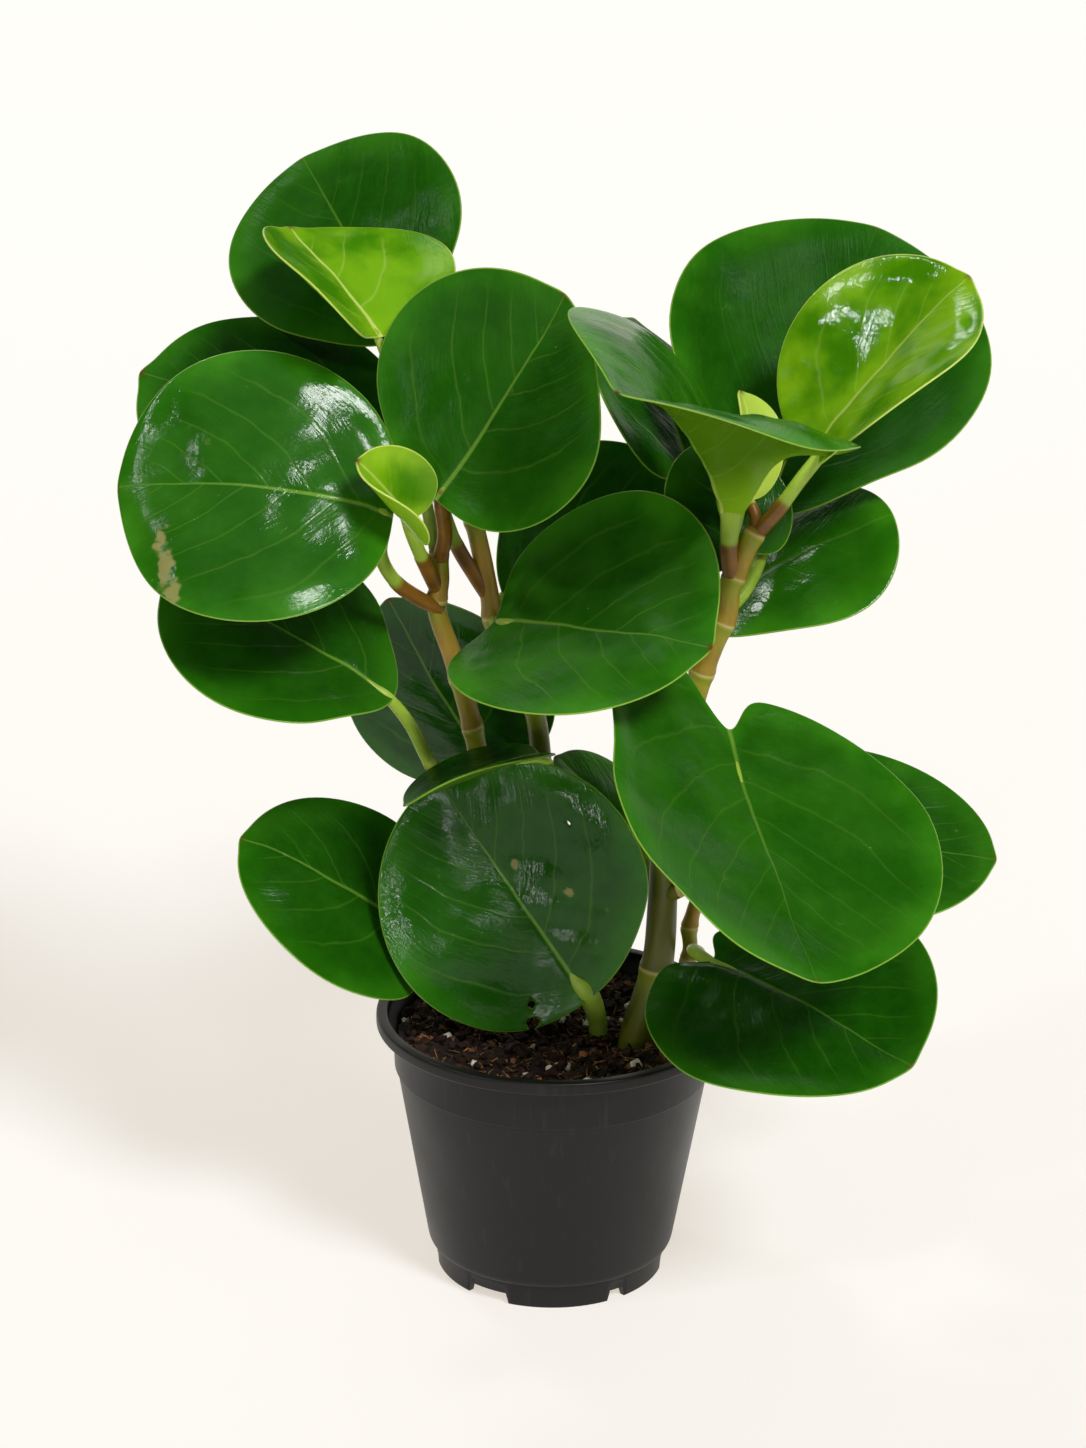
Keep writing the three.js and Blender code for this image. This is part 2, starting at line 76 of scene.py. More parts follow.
def add_node(tree, kind, inputs=None, **settings):
    """Adds a node with its settings and links. An input takes a value, an sRGB hex colour, another
    node's output socket, or another node, of which the first output in use is meant."""
    node = tree.nodes.new("ShaderNode" + kind)
    for name, value in settings.items():
        setattr(node, name, value)
    for key, value in (inputs or {}).items():
        if isinstance(value, bpy.types.Node):
            value = next(socket for socket in value.outputs if socket.enabled)
        if isinstance(value, bpy.types.NodeSocket):
            tree.links.new(value, node.inputs[key])
        else:
            node.inputs[key].default_value = hex_colour(value) if isinstance(value, str) else value
    return node


def new_material(name):
    """An empty material, and add_node tied to its tree."""
    material = bpy.data.materials.new(name)
    material.use_nodes = True
    material.node_tree.nodes.clear()
    return material, partial(add_node, material.node_tree)


def specks(add, place, scale, rarity, size, strength):
    """A small speck in a few of the cells of a pattern. size is where it starts and where it is full,
    in parts of a cell."""
    cells = add("TexVoronoi", {"Vector": place, "Scale": scale})
    chance = add("SeparateColor", {0: cells.outputs["Color"]})
    some = add("Math", {0: chance, 1: rarity}, operation="GREATER_THAN")
    dot = add("MapRange", {"Value": cells, "From Min": size[0], "From Max": size[1], "To Max": strength})
    return add("Math", {0: dot, 1: some}, operation="MULTIPLY")


# ---- Meshes ---------------------------------------------------------------------------------

def turned(profile, steps):
    """A bmesh turned about Z from (radius, height) points. A profile that starts and ends on the axis
    closes by itself, and its poles are merged."""
    bm = bmesh.new()
    points = [bm.verts.new((radius, 0, height)) for radius, height in profile]
    edges = [bm.edges.new(pair) for pair in zip(points, points[1:])]
    bmesh.ops.spin(bm, geom=points + edges, cent=(0, 0, 0), axis=(0, 0, 1), dvec=(0, 0, 0),
                   angle=2 * math.pi, steps=steps, use_merge=True, use_duplicate=False)
    bmesh.ops.remove_doubles(bm, verts=bm.verts, dist=1e-6)
    bmesh.ops.recalc_face_normals(bm, faces=bm.faces)
    return bm


def coordinates(bm):
    return np.array([v.co for v in bm.verts], float).reshape(-1, 3)


def move_points(bm, points):
    for vertex, point in zip(bm.verts, points):
        vertex.co = point


def add_object(name, data):
    thing = bpy.data.objects.new(name, data)
    bpy.context.scene.collection.objects.link(thing)
    return thing


def loose_object(bm, name):
    """A plain object made of a bmesh, which is used up."""
    mesh = bpy.data.meshes.new(name)
    bm.to_mesh(mesh)
    bm.free()
    return add_object(name, mesh)


def finish_mesh(bm, name, material, attributes=None, smooth=True):
    """Makes a piece, in metres, with its float attributes, material and body."""
    bmesh.ops.scale(bm, vec=(MM, MM, MM), verts=bm.verts)
    bmesh.ops.recalc_face_normals(bm, faces=bm.faces)
    piece = loose_object(bm, name)
    for key, values in (attributes or {}).items():
        layer = piece.data.attributes.new(key, "FLOAT", "POINT")
        layer.data.foreach_set("value", np.asarray(values, np.float32))
    for polygon in piece.data.polygons:
        polygon.use_smooth = smooth
    piece.data.materials.append(material)
    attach(piece, BODY)
    return piece


def smooth_path(points, count):
    """Evenly spaced points of a Catmull-Rom curve through the given ones, and its length."""
    p = np.array(points, float)
    p = np.vstack([2 * p[0] - p[1], p, 2 * p[-1] - p[-2]])
    fine = []
    for a, b, c, d in zip(p, p[1:], p[2:], p[3:]):
        t = np.linspace(0, 1, 24, endpoint=False)[:, None]
        fine.append(0.5 * (2 * b + (c - a) * t + (2 * a - 5 * b + 4 * c - d) * t ** 2
                           + (3 * b - a - 3 * c + d) * t ** 3))
    fine = np.vstack(fine + [p[-2:-1]])
    run = np.concatenate([[0], np.cumsum(np.linalg.norm(np.diff(fine, axis=0), axis=1))])
    share = np.linspace(0, run[-1], count)
    return np.stack([np.interp(share, run, fine[:, k]) for k in range(3)], 1), run[-1]


def path_frames(centres):
    """Two unit vectors across the path at each point, carried along it without twist."""
    tangents = np.gradient(centres, axis=0)
    tangents /= np.linalg.norm(tangents, axis=1)[:, None]
    side = np.cross(tangents[0], (0.0, 1.0, 0.1))
    first, second = [], []
    for tangent in tangents:
        side = side - tangent * side.dot(tangent)
        side /= np.linalg.norm(side)
        first.append(side.copy())
        second.append(np.cross(tangent, side))
    return np.array(first), np.array(second)


def limb(points, radius_at, rings, sides, uneven=None):
    """A round limb along a path, and the share of its length at which each of its points stands.
    radius_at takes shares and gives radii. uneven may swell the wall by share and angle."""
    profile = [(0, 0)] + [(1, i) for i in range(rings + 1)] + [(0, rings)]
    bm = turned(profile, sides)
    raw = coordinates(bm)
    centres, _ = smooth_path(points, rings + 1)
    first, second = path_frames(centres)
    ring = np.rint(raw[:, 2]).astype(int)
    share = ring / rings
    reach = np.hypot(raw[:, 0], raw[:, 1])
    radius = radius_at(share)
    if uneven is not None:
        radius = radius * (1 + uneven(share, np.arctan2(raw[:, 1], raw[:, 0])) * reach)
    radius = radius[:, None]
    placed = centres[ring] + first[ring] * raw[:, :1] * radius + second[ring] * raw[:, 1:2] * radius
    move_points(bm, placed)
    return bm, share


def smooth_step(value, low, high):
    t = np.clip((value - low) / (high - low), 0, 1)
    return t * t * (3 - 2 * t)


def waves(u, v, seed, size, count=6):
    """A soft random relief of about unit height, with waves of about the given length."""
    draw = random.Random(seed)
    total = np.zeros_like(u)
    for _ in range(count):
        angle, phase = draw.uniform(0, math.tau), draw.uniform(0, math.tau)
        k = math.tau / (size * draw.uniform(0.7, 1.5))
        total += np.sin(k * (u * math.cos(angle) + v * math.sin(angle)) + phase)
    return total / math.sqrt(count / 2)


# ---- Leaves ---------------------------------------------------------------------------------
#
# base, heading, rise and roll say where a blade starts and how it is held. long and wide are its size
# laid flat, egg widens the half near the petiole, sinus and notch are the bay where the petiole enters,
# lobes lengthen the left and right basal lobe (or cut it back, below 0) at the angle and with the spread
# of lobe, square hardens the right one, and neck draws the base out. point is the size of the tip's
# point. fold is the trough angle at base and tip, cup turns each half on towards the margin, curl turns
# up the left and the right margin, and arch and twist bend the midrib. tone runs from old and dark (0) to
# young and light (1), wax is the gloss, and rib the strength of the veins. path is the petiole's points
# from inside its stem, petiole its radius, flare its swelling under the blade, sheath the brown share of
# it, and throat its last points where it runs up inside a funnel.

PLAIN_LEAF = dict(egg=0, sinus=0, notch=0.38, lobes=(0, 0), lobe=(0.62, 0.42), square=2, neck=0, point=1,
                  cup=0, curl=(0, 0), arch=0.01, twist=0, tone=0.1, wax=0.6, rib=0.8, petiole=2.1,
                  flare=0.25, sheath=0, throat=[])


def grow(name, base, heading, rise, roll, long, wide, **shape):
    """A leaf with the turn of its blade: X along the midrib, Z out of the upper face."""
    turn = (Matrix.Rotation(math.radians(heading), 3, "Z")
            @ Matrix.Rotation(-math.radians(rise), 3, "Y")
            @ Matrix.Rotation(math.radians(roll), 3, "X"))
    seed = sum(ord(letter) * (i + 3) for i, letter in enumerate(name))
    return {**PLAIN_LEAF, **shape, "name": name, "base": base, "long": long, "wide": wide,
            "turn": np.array(turn, float), "seed": seed}


LEAVES = [
    grow("top_left", (-46, 38, 283.5), 136, 47, -45, 73, 75, lobes=(-3, -4), fold=(22, -2), cup=8,
         arch=23, twist=-2, tone=0.06, wax=0.25, point=0.3, rib=0.5,
         path=[(-37, 27, 271), (-40, 30, 277)]),
    grow("young_folded", (-52, 15, 290.5), 133, 31, 0, 57, 68, egg=0.06, sinus=9, fold=(44, 22), cup=1,
         arch=1, twist=9, petiole=1.9, tone=0.75, wax=0.3, rib=1.5,
         path=[(-36, 14, 223), (-39.5, 15, 241), (-43.5, 13, 260), (-48.5, 15.5, 277)]),
    grow("centre_top", (-36, 0, 245), 9, 54, 55, 75, 81, egg=-0.03, sinus=2, lobes=(-2, 0), fold=(12, 11),
         cup=9, arch=-23, twist=-10, sheath=0.72, wax=0.2, point=0.6,
         path=[(-35, 12, 224), (-33.5, 7, 233)]),
    grow("small_cupped", (-42, -7, 240), 215, 51, -54, 34, 31, egg=0.07, sinus=6, notch=0.4,
         lobes=(0, -2), fold=(37, 30), cup=16, arch=7, twist=-3, tone=1, sheath=0.45, wax=0.3, rib=0.6,
         curl=(50, 0), path=[(-36, 13, 214), (-40, 4, 226)]),
    grow("left_large", (-48, -6, 242), 196, 22, -50, 84, 85, sinus=1, lobes=(0, 1), fold=(6, 2), cup=-1,
         arch=52, twist=-12, tone=0.13, sheath=0.33, wax=0.9, point=0.3,
         path=[(-35, 13, 208), (-41, 9, 212), (-48, 4, 219), (-52, -1, 229)]),
    grow("left_back", (-49, 16, 258), 167, 12, -30, 80, 76, sinus=2, fold=(-1, 1), cup=-4, arch=2,
         twist=-4, tone=0.03, sheath=0.3, wax=0.4,
         path=[(-21, 31, 206), (-25, 29, 213), (-31, 25, 225), (-39, 20, 247)]),
    grow("left_low", (-47, -3, 185), 174, 33, -20, 77, 72, egg=-0.03, lobes=(-4, -5), fold=(6, -3),
         cup=-2, arch=16, twist=-14, tone=0.06, sheath=0.35,
         path=[(-24, 16, 146), (-36, 10, 157), (-43, 2, 174)]),
    grow("behind_stems", (-20, 47.5, 143.6), 187, 58, -116, 69, 69, egg=0.09, sinus=6, notch=0.39,
         lobes=(-2, -1), fold=(-5, 8), cup=-2, arch=10, twist=-3, tone=0, wax=1.0,
         path=[(-3, 33, 118), (-9, 39, 128)]),
    grow("centre", (-19, 6, 207), 321, 9, 31, 83, 91, egg=-0.03, sinus=6, notch=0.34, lobes=(1, 0),
         fold=(15, 14), cup=12, arch=8, twist=4, tone=0.17, wax=0.12,
         path=[(-19.5, 31, 199), (-17, 20, 200)]),
    grow("centre_back", (-17, 39, 203), 8, 27, 68, 68, 66, egg=0.03, sinus=1, lobes=(-4, 0), fold=(10, 5),
         cup=7, arch=13, twist=1, tone=0, wax=0.3, path=[(-19, 31.5, 198), (-18.5, 36, 201)]),
    grow("right_inner", (54, 4, 228), 133, 58, -25, 42, 39, egg=0.08, sinus=6, fold=(11, 6), cup=8,
         arch=6, tone=0.03, wax=0.9, path=[(50, -6, 222), (52, -1, 225)]),
    grow("trumpet", (47, -10, 245), 254, 59, -26, 85, 99, lobes=(-13, 3), lobe=(0.4, 0.3), fold=(130, 60),
         cup=-97, arch=46, twist=-6, tone=0.2, sheath=0.36, neck=9, petiole=2.5, flare=1.3, wax=0.5,
         throat=[(50, -8.3, 245), (49.3, -10.5, 252), (47.3, -14, 259)],
         path=[(51, -6, 222), (49.3, -7, 234)]),
    grow("right_young", (75, -1, 263), 4, 58, 16, 70, 68, egg=0.02, sinus=6, notch=0.26, fold=(24, 2),
         cup=18, arch=18, twist=17, tone=0.87, sheath=0.27, wax=1.3, point=0.7,
         path=[(58, -4.3, 238), (64, -4.5, 245.5), (70, -3.5, 254)]),
    grow("right_large", (61, 22, 235), 63, 42, 26, 100, 104, egg=-0.03, lobes=(-1, -7), fold=(46, -6),
         cup=11, arch=-16, twist=-7, tone=0.07, point=0.2, wax=0.05, rib=0.2,
         path=[(49, -6, 214), (55, 0, 219), (60, 11, 227)]),
    grow("right_side", (55, 15, 216), 3, 30, 18, 57, 58, egg=-0.02, sinus=8, lobes=(0, 11), fold=(1, -10),
         cup=-13, arch=10, twist=14, tone=0.13, point=0, wax=0.95, rib=0.15,
         path=[(45, -7, 202), (47, 3, 206)]),
    grow("back_upper", (40, 34, 242), 111, 45, 21, 63, 61, egg=0.04, sinus=4, fold=(8, -4), cup=-2,
         arch=7, twist=13, tone=0.04, wax=0.3, path=[(47, -6, 208), (47, 6, 213), (43, 24, 230)]),
    grow("heart", (50, -19, 182), 284, -36, -15, 106, 106, egg=-0.03, sinus=13, notch=0.13,
         lobes=(-3, 19), fold=(16, 19), cup=1, arch=-14, twist=-2, tone=0.12, wax=0.15, point=0.3,
         rib=0.5, square=4, path=[(37.5, -7, 176), (42, -10, 183)]),
    grow("right_low", (56, 30, 135), 355, -10, 30, 83, 71, egg=0.08, sinus=3, fold=(4, 6), arch=-8,
         twist=-5, tone=0.08, wax=0.4, point=0.5, path=[(33, -7, 133), (40, 6, 137), (48, 24, 138)]),
    grow("over_rim", (46, -19, 110), 320, -6, 18, 85, 86, egg=0.02, sinus=11, notch=0.14, lobes=(-13, 1),
         fold=(-4, 18), cup=-4, arch=11, twist=3, tone=0.02, wax=0.35, rib=0.6, point=0.5,
         path=[(42.5, 9, 99), (44, 0, 103), (42, -10, 108)]),
    grow("front_round", (11, -16, 94), 159, 51, -76, 82, 85, egg=0.06, sinus=1, lobes=(1, -3),
         fold=(6, 9), cup=4, arch=6, twist=3, petiole=2.9, tone=0.07, flare=1.0, wax=0.85,
         path=[(14, -1, 66), (14, -2, 76), (13, -8, 86)]),
    grow("curled_over", (-5, -4, 169), 202, -7, 12, 48, 43, egg=0.06, sinus=4, lobes=(1, 0), fold=(3, 12),
         cup=4, arch=14, twist=7, tone=0.0, petiole=1.6, flare=0, wax=0.2,
         path=[(-21, 17, 141), (-9, 12, 153), (-2, 1.5, 163)]),
    grow("left_lowest", (-44, 6, 107), 190, 40, -39, 68, 67, egg=0.1, sinus=9, notch=0.33, lobes=(5, 0),
         fold=(4, -3), cup=-5, arch=23, twist=6, tone=0.05, wax=0.5, rib=0.65, point=0.6,
         path=[(-9, 21, 92), (-24, 14, 93), (-37, 8, 100)]),
    grow("small_inner", (25, 8, 138), 167, 46, -13, 40, 38, egg=0.06, sinus=6, fold=(4, 0), cup=-4,
         arch=11, twist=2, tone=0.25, path=[(32, -7, 121), (29, 1, 128)]),
    grow("bud", (56, -1, 246.5), 149, 93, -24, 32, 21, egg=-0.17, fold=(39, 26), cup=7, arch=34, twist=25,
         petiole=1.6, tone=1.4, sheath=0.5, wax=0.5, path=[(57, -4, 237.5), (57, -2.5, 242)]),
]

# Tears and nibbled holes in a blade: place along and across the midrib, and half sizes the same way.
HOLES = {"front_round": [(47.8, -27, 0.9, 0.5), (8.8, 15.8, 1.2, 1.4), (4.0, 18.6, 2.3, 2.1)]}

# Dry tan scars on a blade, listed the same way.
SCARS = {"left_large": [(67.5, 17, 1.8, 5), (65, 26, 2.4, 6), (61.5, 34, 2.2, 4.5)],
         "front_round": [(47.1, -5.5, 1.7, 1.2), (31.1, -13.9, 1.4, 1.2)]}

# A leaf that was broken off left this stub on the right-hand stem.
STUB = [(33.5, -8, 126), (35.5, -10, 127), (37.8, -12.2, 128.6)]

# Each stem from below the soil to its end. nodes are the shares of its length with a ringed scar.
STEMS = [
    dict(name="left", radius=(3.9, 2.6), nodes=(0.28, 0.5, 0.64, 0.74, 0.9, 0.99),
         path=[(-4, 22, 66), (-6, 22, 78), (-16, 18.5, 122), (-24, 16.5, 163), (-28, 16, 180),
               (-31.5, 14.5, 193), (-36, 13.5, 207), (-35, 13, 217), (-35.5, 13, 227)]),
    dict(name="back", radius=(4, 2.4), nodes=(0.3, 0.5, 0.65, 0.8, 0.99),
         path=[(-1, 33, 66), (-1, 33, 80), (-2.5, 33, 120), (-6, 33, 165), (-13, 32.5, 182),
               (-19, 31.5, 196), (-21, 31, 208), (-24.5, 30, 226), (-31, 28, 252), (-37, 27, 271)]),
    dict(name="right", radius=(5.1, 2.9), nodes=(0.2, 0.43, 0.6, 0.74, 0.83, 0.91, 0.99),
         path=[(24, -7, 66), (25.5, -7, 77), (29, -7, 91), (31.5, -7, 104), (32.5, -7, 123),
               (33, -7, 148), (36, -7, 170), (41, -7, 190), (45, -7, 203), (49, -6, 213),
               (50, -6, 221), (53, -5, 229), (57.5, -4, 239)]),
    dict(name="side_shoot", radius=(2.7, 2.1), nodes=(0.35, 0.6, 0.8),
         path=[(35, 9, 66), (37, 9, 79), (41.5, 9, 98), (41.5, 9, 108), (44, 9, 118)]),
]

# The tip's point as a share of the length, and how far about the middle the point and a drawn-out
# neck spread, in radians.
TIP_POINT = 0.02
TIP_SPREAD = 0.12
NECK_SPREAD = 0.2

# The share of the width over which the trough is rounded, where on the midrib the rings centre, and how
# much closer together their steps lie at base and tip.
TROUGH_ROUNDING = 0.06
RINGS_CENTRE = 0.42
STEP_EASE = 0.33

# Relief of a blade, as heights, lengths and half widths in millimetres.
WAVE_LENGTH = 34
DIMPLE_LENGTH = 11
DIMPLE_HEIGHT = 0.1
PILLOW_HEIGHT = 0.16
EDGE_WAVE_LENGTH = 46
EDGE_WAVE_HEIGHT = 0.5
GROOVE_DEPTH = 0.35
GROOVE_WIDTH = 1.3
KEEL_DEPTH = 1.1
KEEL_WIDTH = 1.7
RELIEF_MARGIN = 9

# A blade grows lighter over this distance from its margin, and a drawn-out neck over its own range.
LIGHT_MARGIN = 12
LIGHT_EDGE = 0.13
MIDDLE_SHADE = -0.03
NECK_TONE = 1.1
NECK_RANGE = (-4, 26)

# Where a petiole runs on under its blade, as shares of the midrib and depths in millimetres, how thick
# its dry sheath is, and how far it thins to its end, alone or up a funnel's throat.
UNDER_BLADE = ((0.02, 2.2), (0.1, 1.7), (0.2, 1.0))
SHEATH_THICKNESS = 0.22
PETIOLE_TAPER = 0.62
THROAT_TAPER = 0.87

BLADE_STEPS = 144
BLADE_RINGS = (0.0, 0.04, 0.09, 0.14, 0.19, 0.24, 0.3, 0.36, 0.42, 0.48, 0.54, 0.6, 0.66, 0.72, 0.77,
               0.82, 0.86, 0.9, 0.93, 0.955, 0.975, 0.988)


def hump(offset, spread):
    return np.exp(-(offset / spread) ** 2)


def margin(leaf, angle):
    """The flat blade's margin at an angle about its middle, 0 at the tip and pi at the petiole."""
    from_base = np.abs(math.pi - angle)
    from_tip = math.pi - from_base
    left, right = leaf["lobes"]
    u = leaf["long"] / 2 * (1 + np.cos(angle)) - leaf["sinus"]
    u = u + leaf["sinus"] * hump(from_base, leaf["notch"])
    u = u + TIP_POINT * leaf["point"] * leaf["long"] * hump(from_tip, TIP_SPREAD)
    u = u - leaf["neck"] * hump(from_base, NECK_SPREAD)
    lobe_at, lobe_spread = leaf["lobe"]
    u = u - left * hump(angle - (math.pi - lobe_at), lobe_spread)
    u = u - right * np.exp(-np.abs((angle - math.pi - lobe_at) / lobe_spread) ** leaf["square"])
    v = leaf["wide"] / 2 * np.sin(angle) * (1 - leaf["egg"] * np.cos(angle))
    return u, v


def blade_points(leaf, u, v):
    """Where the points u along the midrib and v to its left lie once the blade is bent."""
    midrib = leaf["long"] - leaf["sinus"]
    fold_base, fold_tip = leaf["fold"]
    share = np.clip(u / midrib, -0.2, 1.1)
    fold = np.radians(fold_base + (fold_tip - fold_base) * share)
    steps = 10
    reach = np.abs(v)
    curl = np.radians(np.where(v > 0, *leaf["curl"]))
    across, lift = np.zeros_like(u), np.zeros_like(u)
    for i in range(steps):
        t = reach * (i + 0.5) / steps
        slope = fold * t / (t + TROUGH_ROUNDING * leaf["wide"])
        slope += math.radians(leaf["cup"]) * t / (leaf["wide"] / 2)
        slope += curl * (t / (leaf["wide"] / 2)) ** 2
        across += np.cos(slope) * reach / steps
        lift += np.sin(slope) * reach / steps
    across = across * np.sign(v)
    turn = math.radians(leaf["twist"]) * u / midrib
    side = across * np.cos(turn) - lift * np.sin(turn)
    up = across * np.sin(turn) + lift * np.cos(turn)
    bend = -math.radians(leaf["arch"]) / midrib
    forward = np.sin(bend * u) / bend - np.sin(bend * u) * up
    height = (1 - np.cos(bend * u)) / bend + np.cos(bend * u) * up
    local = np.stack([forward, side, height], 1)
    return local @ leaf["turn"].T + np.array(leaf["base"], float)


def blade_normals(leaf, u, v):
    step = 0.5
    along = blade_points(leaf, u + step, v) - blade_points(leaf, u - step, v)
    aside = blade_points(leaf, u, v + step) - blade_points(leaf, u, v - step)
    normal = np.cross(along, aside)
    return normal / np.linalg.norm(normal, axis=1)[:, None]


def vein_run(leaf, u, v):
    """Runs up by one from each side vein to the next. The lowest veins sweep out and round along the
    margin, and the upper ones leave the midrib at a sharper and sharper angle."""
    midrib = leaf["long"] - leaf["sinus"]
    share, reach = u / midrib, np.abs(v) / (leaf["wide"] / 2)
    return (share - 0.55 * reach * (0.2 + 1.4 * share)) * midrib + 3.0 * np.sign(v)


def blade_mesh(leaf, settings):
    """A lens with a rounded edge, turned flat, then laid on the bent blade with its relief."""
    middle_half = settings.blade_thickness / MM / 2
    edge_half = settings.edge_thickness / MM / 2
    half = {r: middle_half + (edge_half - middle_half) * r for r in BLADE_RINGS}
    under = [(r, -half[r]) for r in BLADE_RINGS]
    rim = [(0.996, -0.75 * edge_half), (1.0, 0.0), (0.996, 0.75 * edge_half)]
    over = [(r, half[r]) for r in reversed(BLADE_RINGS)]
    bm = turned(under + rim + over, BLADE_STEPS)
    raw = coordinates(bm)
    ring = np.hypot(raw[:, 0], raw[:, 1])
    even = np.arctan2(raw[:, 1], raw[:, 0]) % math.tau
    angle = even - STEP_EASE * np.sin(2 * even)
    rim_u, rim_v = margin(leaf, angle)
    midrib = leaf["long"] - leaf["sinus"]
    middle = RINGS_CENTRE * midrib
    u, v = middle + (rim_u - middle) * ring, rim_v * ring
    edge = (1 - ring) * np.hypot(rim_u - middle, rim_v)
    share = np.clip(u / midrib, 0, 1)
    upper = (raw[:, 2] > 0).astype(float)

    size = min(1.0, leaf["wide"] / 70)
    inside = smooth_step(edge, 0, RELIEF_MARGIN)
    run = vein_run(leaf, u, v) / settings.vein_spacing * MM
    pillow = np.cos(math.tau * run) * smooth_step(np.abs(v), 2, 12) * inside
    relief = size * (settings.ripple / MM * waves(u, v, leaf["seed"], WAVE_LENGTH) * inside
                     + DIMPLE_HEIGHT * waves(u, v, leaf["seed"] + 1, DIMPLE_LENGTH) * inside
                     - PILLOW_HEIGHT * pillow * leaf["rib"]
                     + EDGE_WAVE_HEIGHT * waves(u, v, leaf["seed"] + 2, EDGE_WAVE_LENGTH) * (1 - inside))
    groove = GROOVE_DEPTH * (1 - share) ** 0.6 * hump(v, GROOVE_WIDTH) * upper
    keel = KEEL_DEPTH * (1 - share) ** 1.2 * hump(v, KEEL_WIDTH) * (1 - upper) * smooth_step(u, 2, 9)
    offset = raw[:, 2] + relief - groove - keel
    normal = blade_normals(leaf, u, v)
    move_points(bm, blade_points(leaf, u, v) + normal * offset[:, None])
    tip_u, tip_v = margin(leaf, np.array([0.0]))
    tip = hump(np.hypot(u - tip_u, v - tip_v), 1.4) * min(1.0, leaf["point"])
    tone = leaf["tone"] + MIDDLE_SHADE + LIGHT_EDGE * (1 - smooth_step(edge, 0, LIGHT_MARGIN))
    tone += (NECK_TONE - leaf["tone"]) * (leaf["neck"] > 0) * (1 - smooth_step(u, *NECK_RANGE))
    scar = np.zeros(len(u))
    for at_u, at_v, long, wide in SCARS.get(leaf["name"], []):
        scar = np.maximum(scar, np.exp(-((u - at_u) / long) ** 2 - ((v - at_v) / wide) ** 2))
    return bm, {"along": u, "across": v, "edge": edge, "upper": upper, "tone": tone, "tip": tip,
                "run": run, "scar": scar, "wax": 0 * u + leaf["wax"], "rib": 0 * u + leaf["rib"]}


def hole_mesh(leaf):
    """Rods through the blade wherever it is torn, each an irregular nine-sided bite."""
    draw = random.Random(leaf["seed"])
    bm = bmesh.new()
    for at_u, at_v, long, wide in HOLES[leaf["name"]]:
        u, v = np.array([at_u, at_u + 1, at_u]), np.array([at_v, at_v, at_v + 1])
        middle, ahead, aside = blade_points(leaf, u, v)
        normal = blade_normals(leaf, u, v)[0]
        frame_in = Matrix((ahead - middle, aside - middle, normal)).transposed().to_4x4()
        place = Matrix.Translation(middle) @ frame_in @ Matrix.Diagonal((long, wide, 1, 1))
        made = bmesh.ops.create_cone(bm, cap_ends=True, segments=9, radius1=1, radius2=1, depth=6)
        reach = [draw.uniform(0.7, 1.25) for _ in range(9)]
        for i, vertex in enumerate(made["verts"]):
            vertex.co = place @ Vector((vertex.co.x * reach[i // 2 % 9], vertex.co.y * reach[i // 2 % 9],
                                        vertex.co.z))
    bmesh.ops.scale(bm, vec=(MM, MM, MM), verts=bm.verts)
    return bm


def petiole_mesh(leaf):
    """The stalk from inside the stem to under the blade, where it runs out as the start of the midrib."""
    midrib = leaf["long"] - leaf["sinus"]
    share, depth = np.array(UNDER_BLADE).T
    u, v = share * midrib, 0 * share
    under = blade_points(leaf, u, v) - blade_normals(leaf, u, v) * depth[:, None]
    path = list(leaf["path"]) + (leaf["throat"] or [tuple(p) for p in under])

    def radius(share):
        sheath = SHEATH_THICKNESS * (1 - smooth_step(share, leaf["sheath"] - 0.02, leaf["sheath"] + 0.01))
        sheath = sheath * (leaf["sheath"] > 0)
        if leaf["throat"]:
            swell = leaf["petiole"] + sheath + leaf["flare"] * smooth_step(share, 0.3, 0.7)
            return swell * (1 - THROAT_TAPER * smooth_step(share, 0.68, 1.0))
        flare = leaf["flare"] * smooth_step(share, 0.3, 0.78) * (1 - smooth_step(share, 0.8, 1))
        return leaf["petiole"] * (1 - PETIOLE_TAPER * share ** 3) + sheath + flare

    bm, share = limb(path, radius, 44, 18)
    brown = (1 - smooth_step(share, leaf["sheath"] - 0.03, leaf["sheath"] + 0.01)) * (leaf["sheath"] > 0)
    return bm, {"brown": brown}


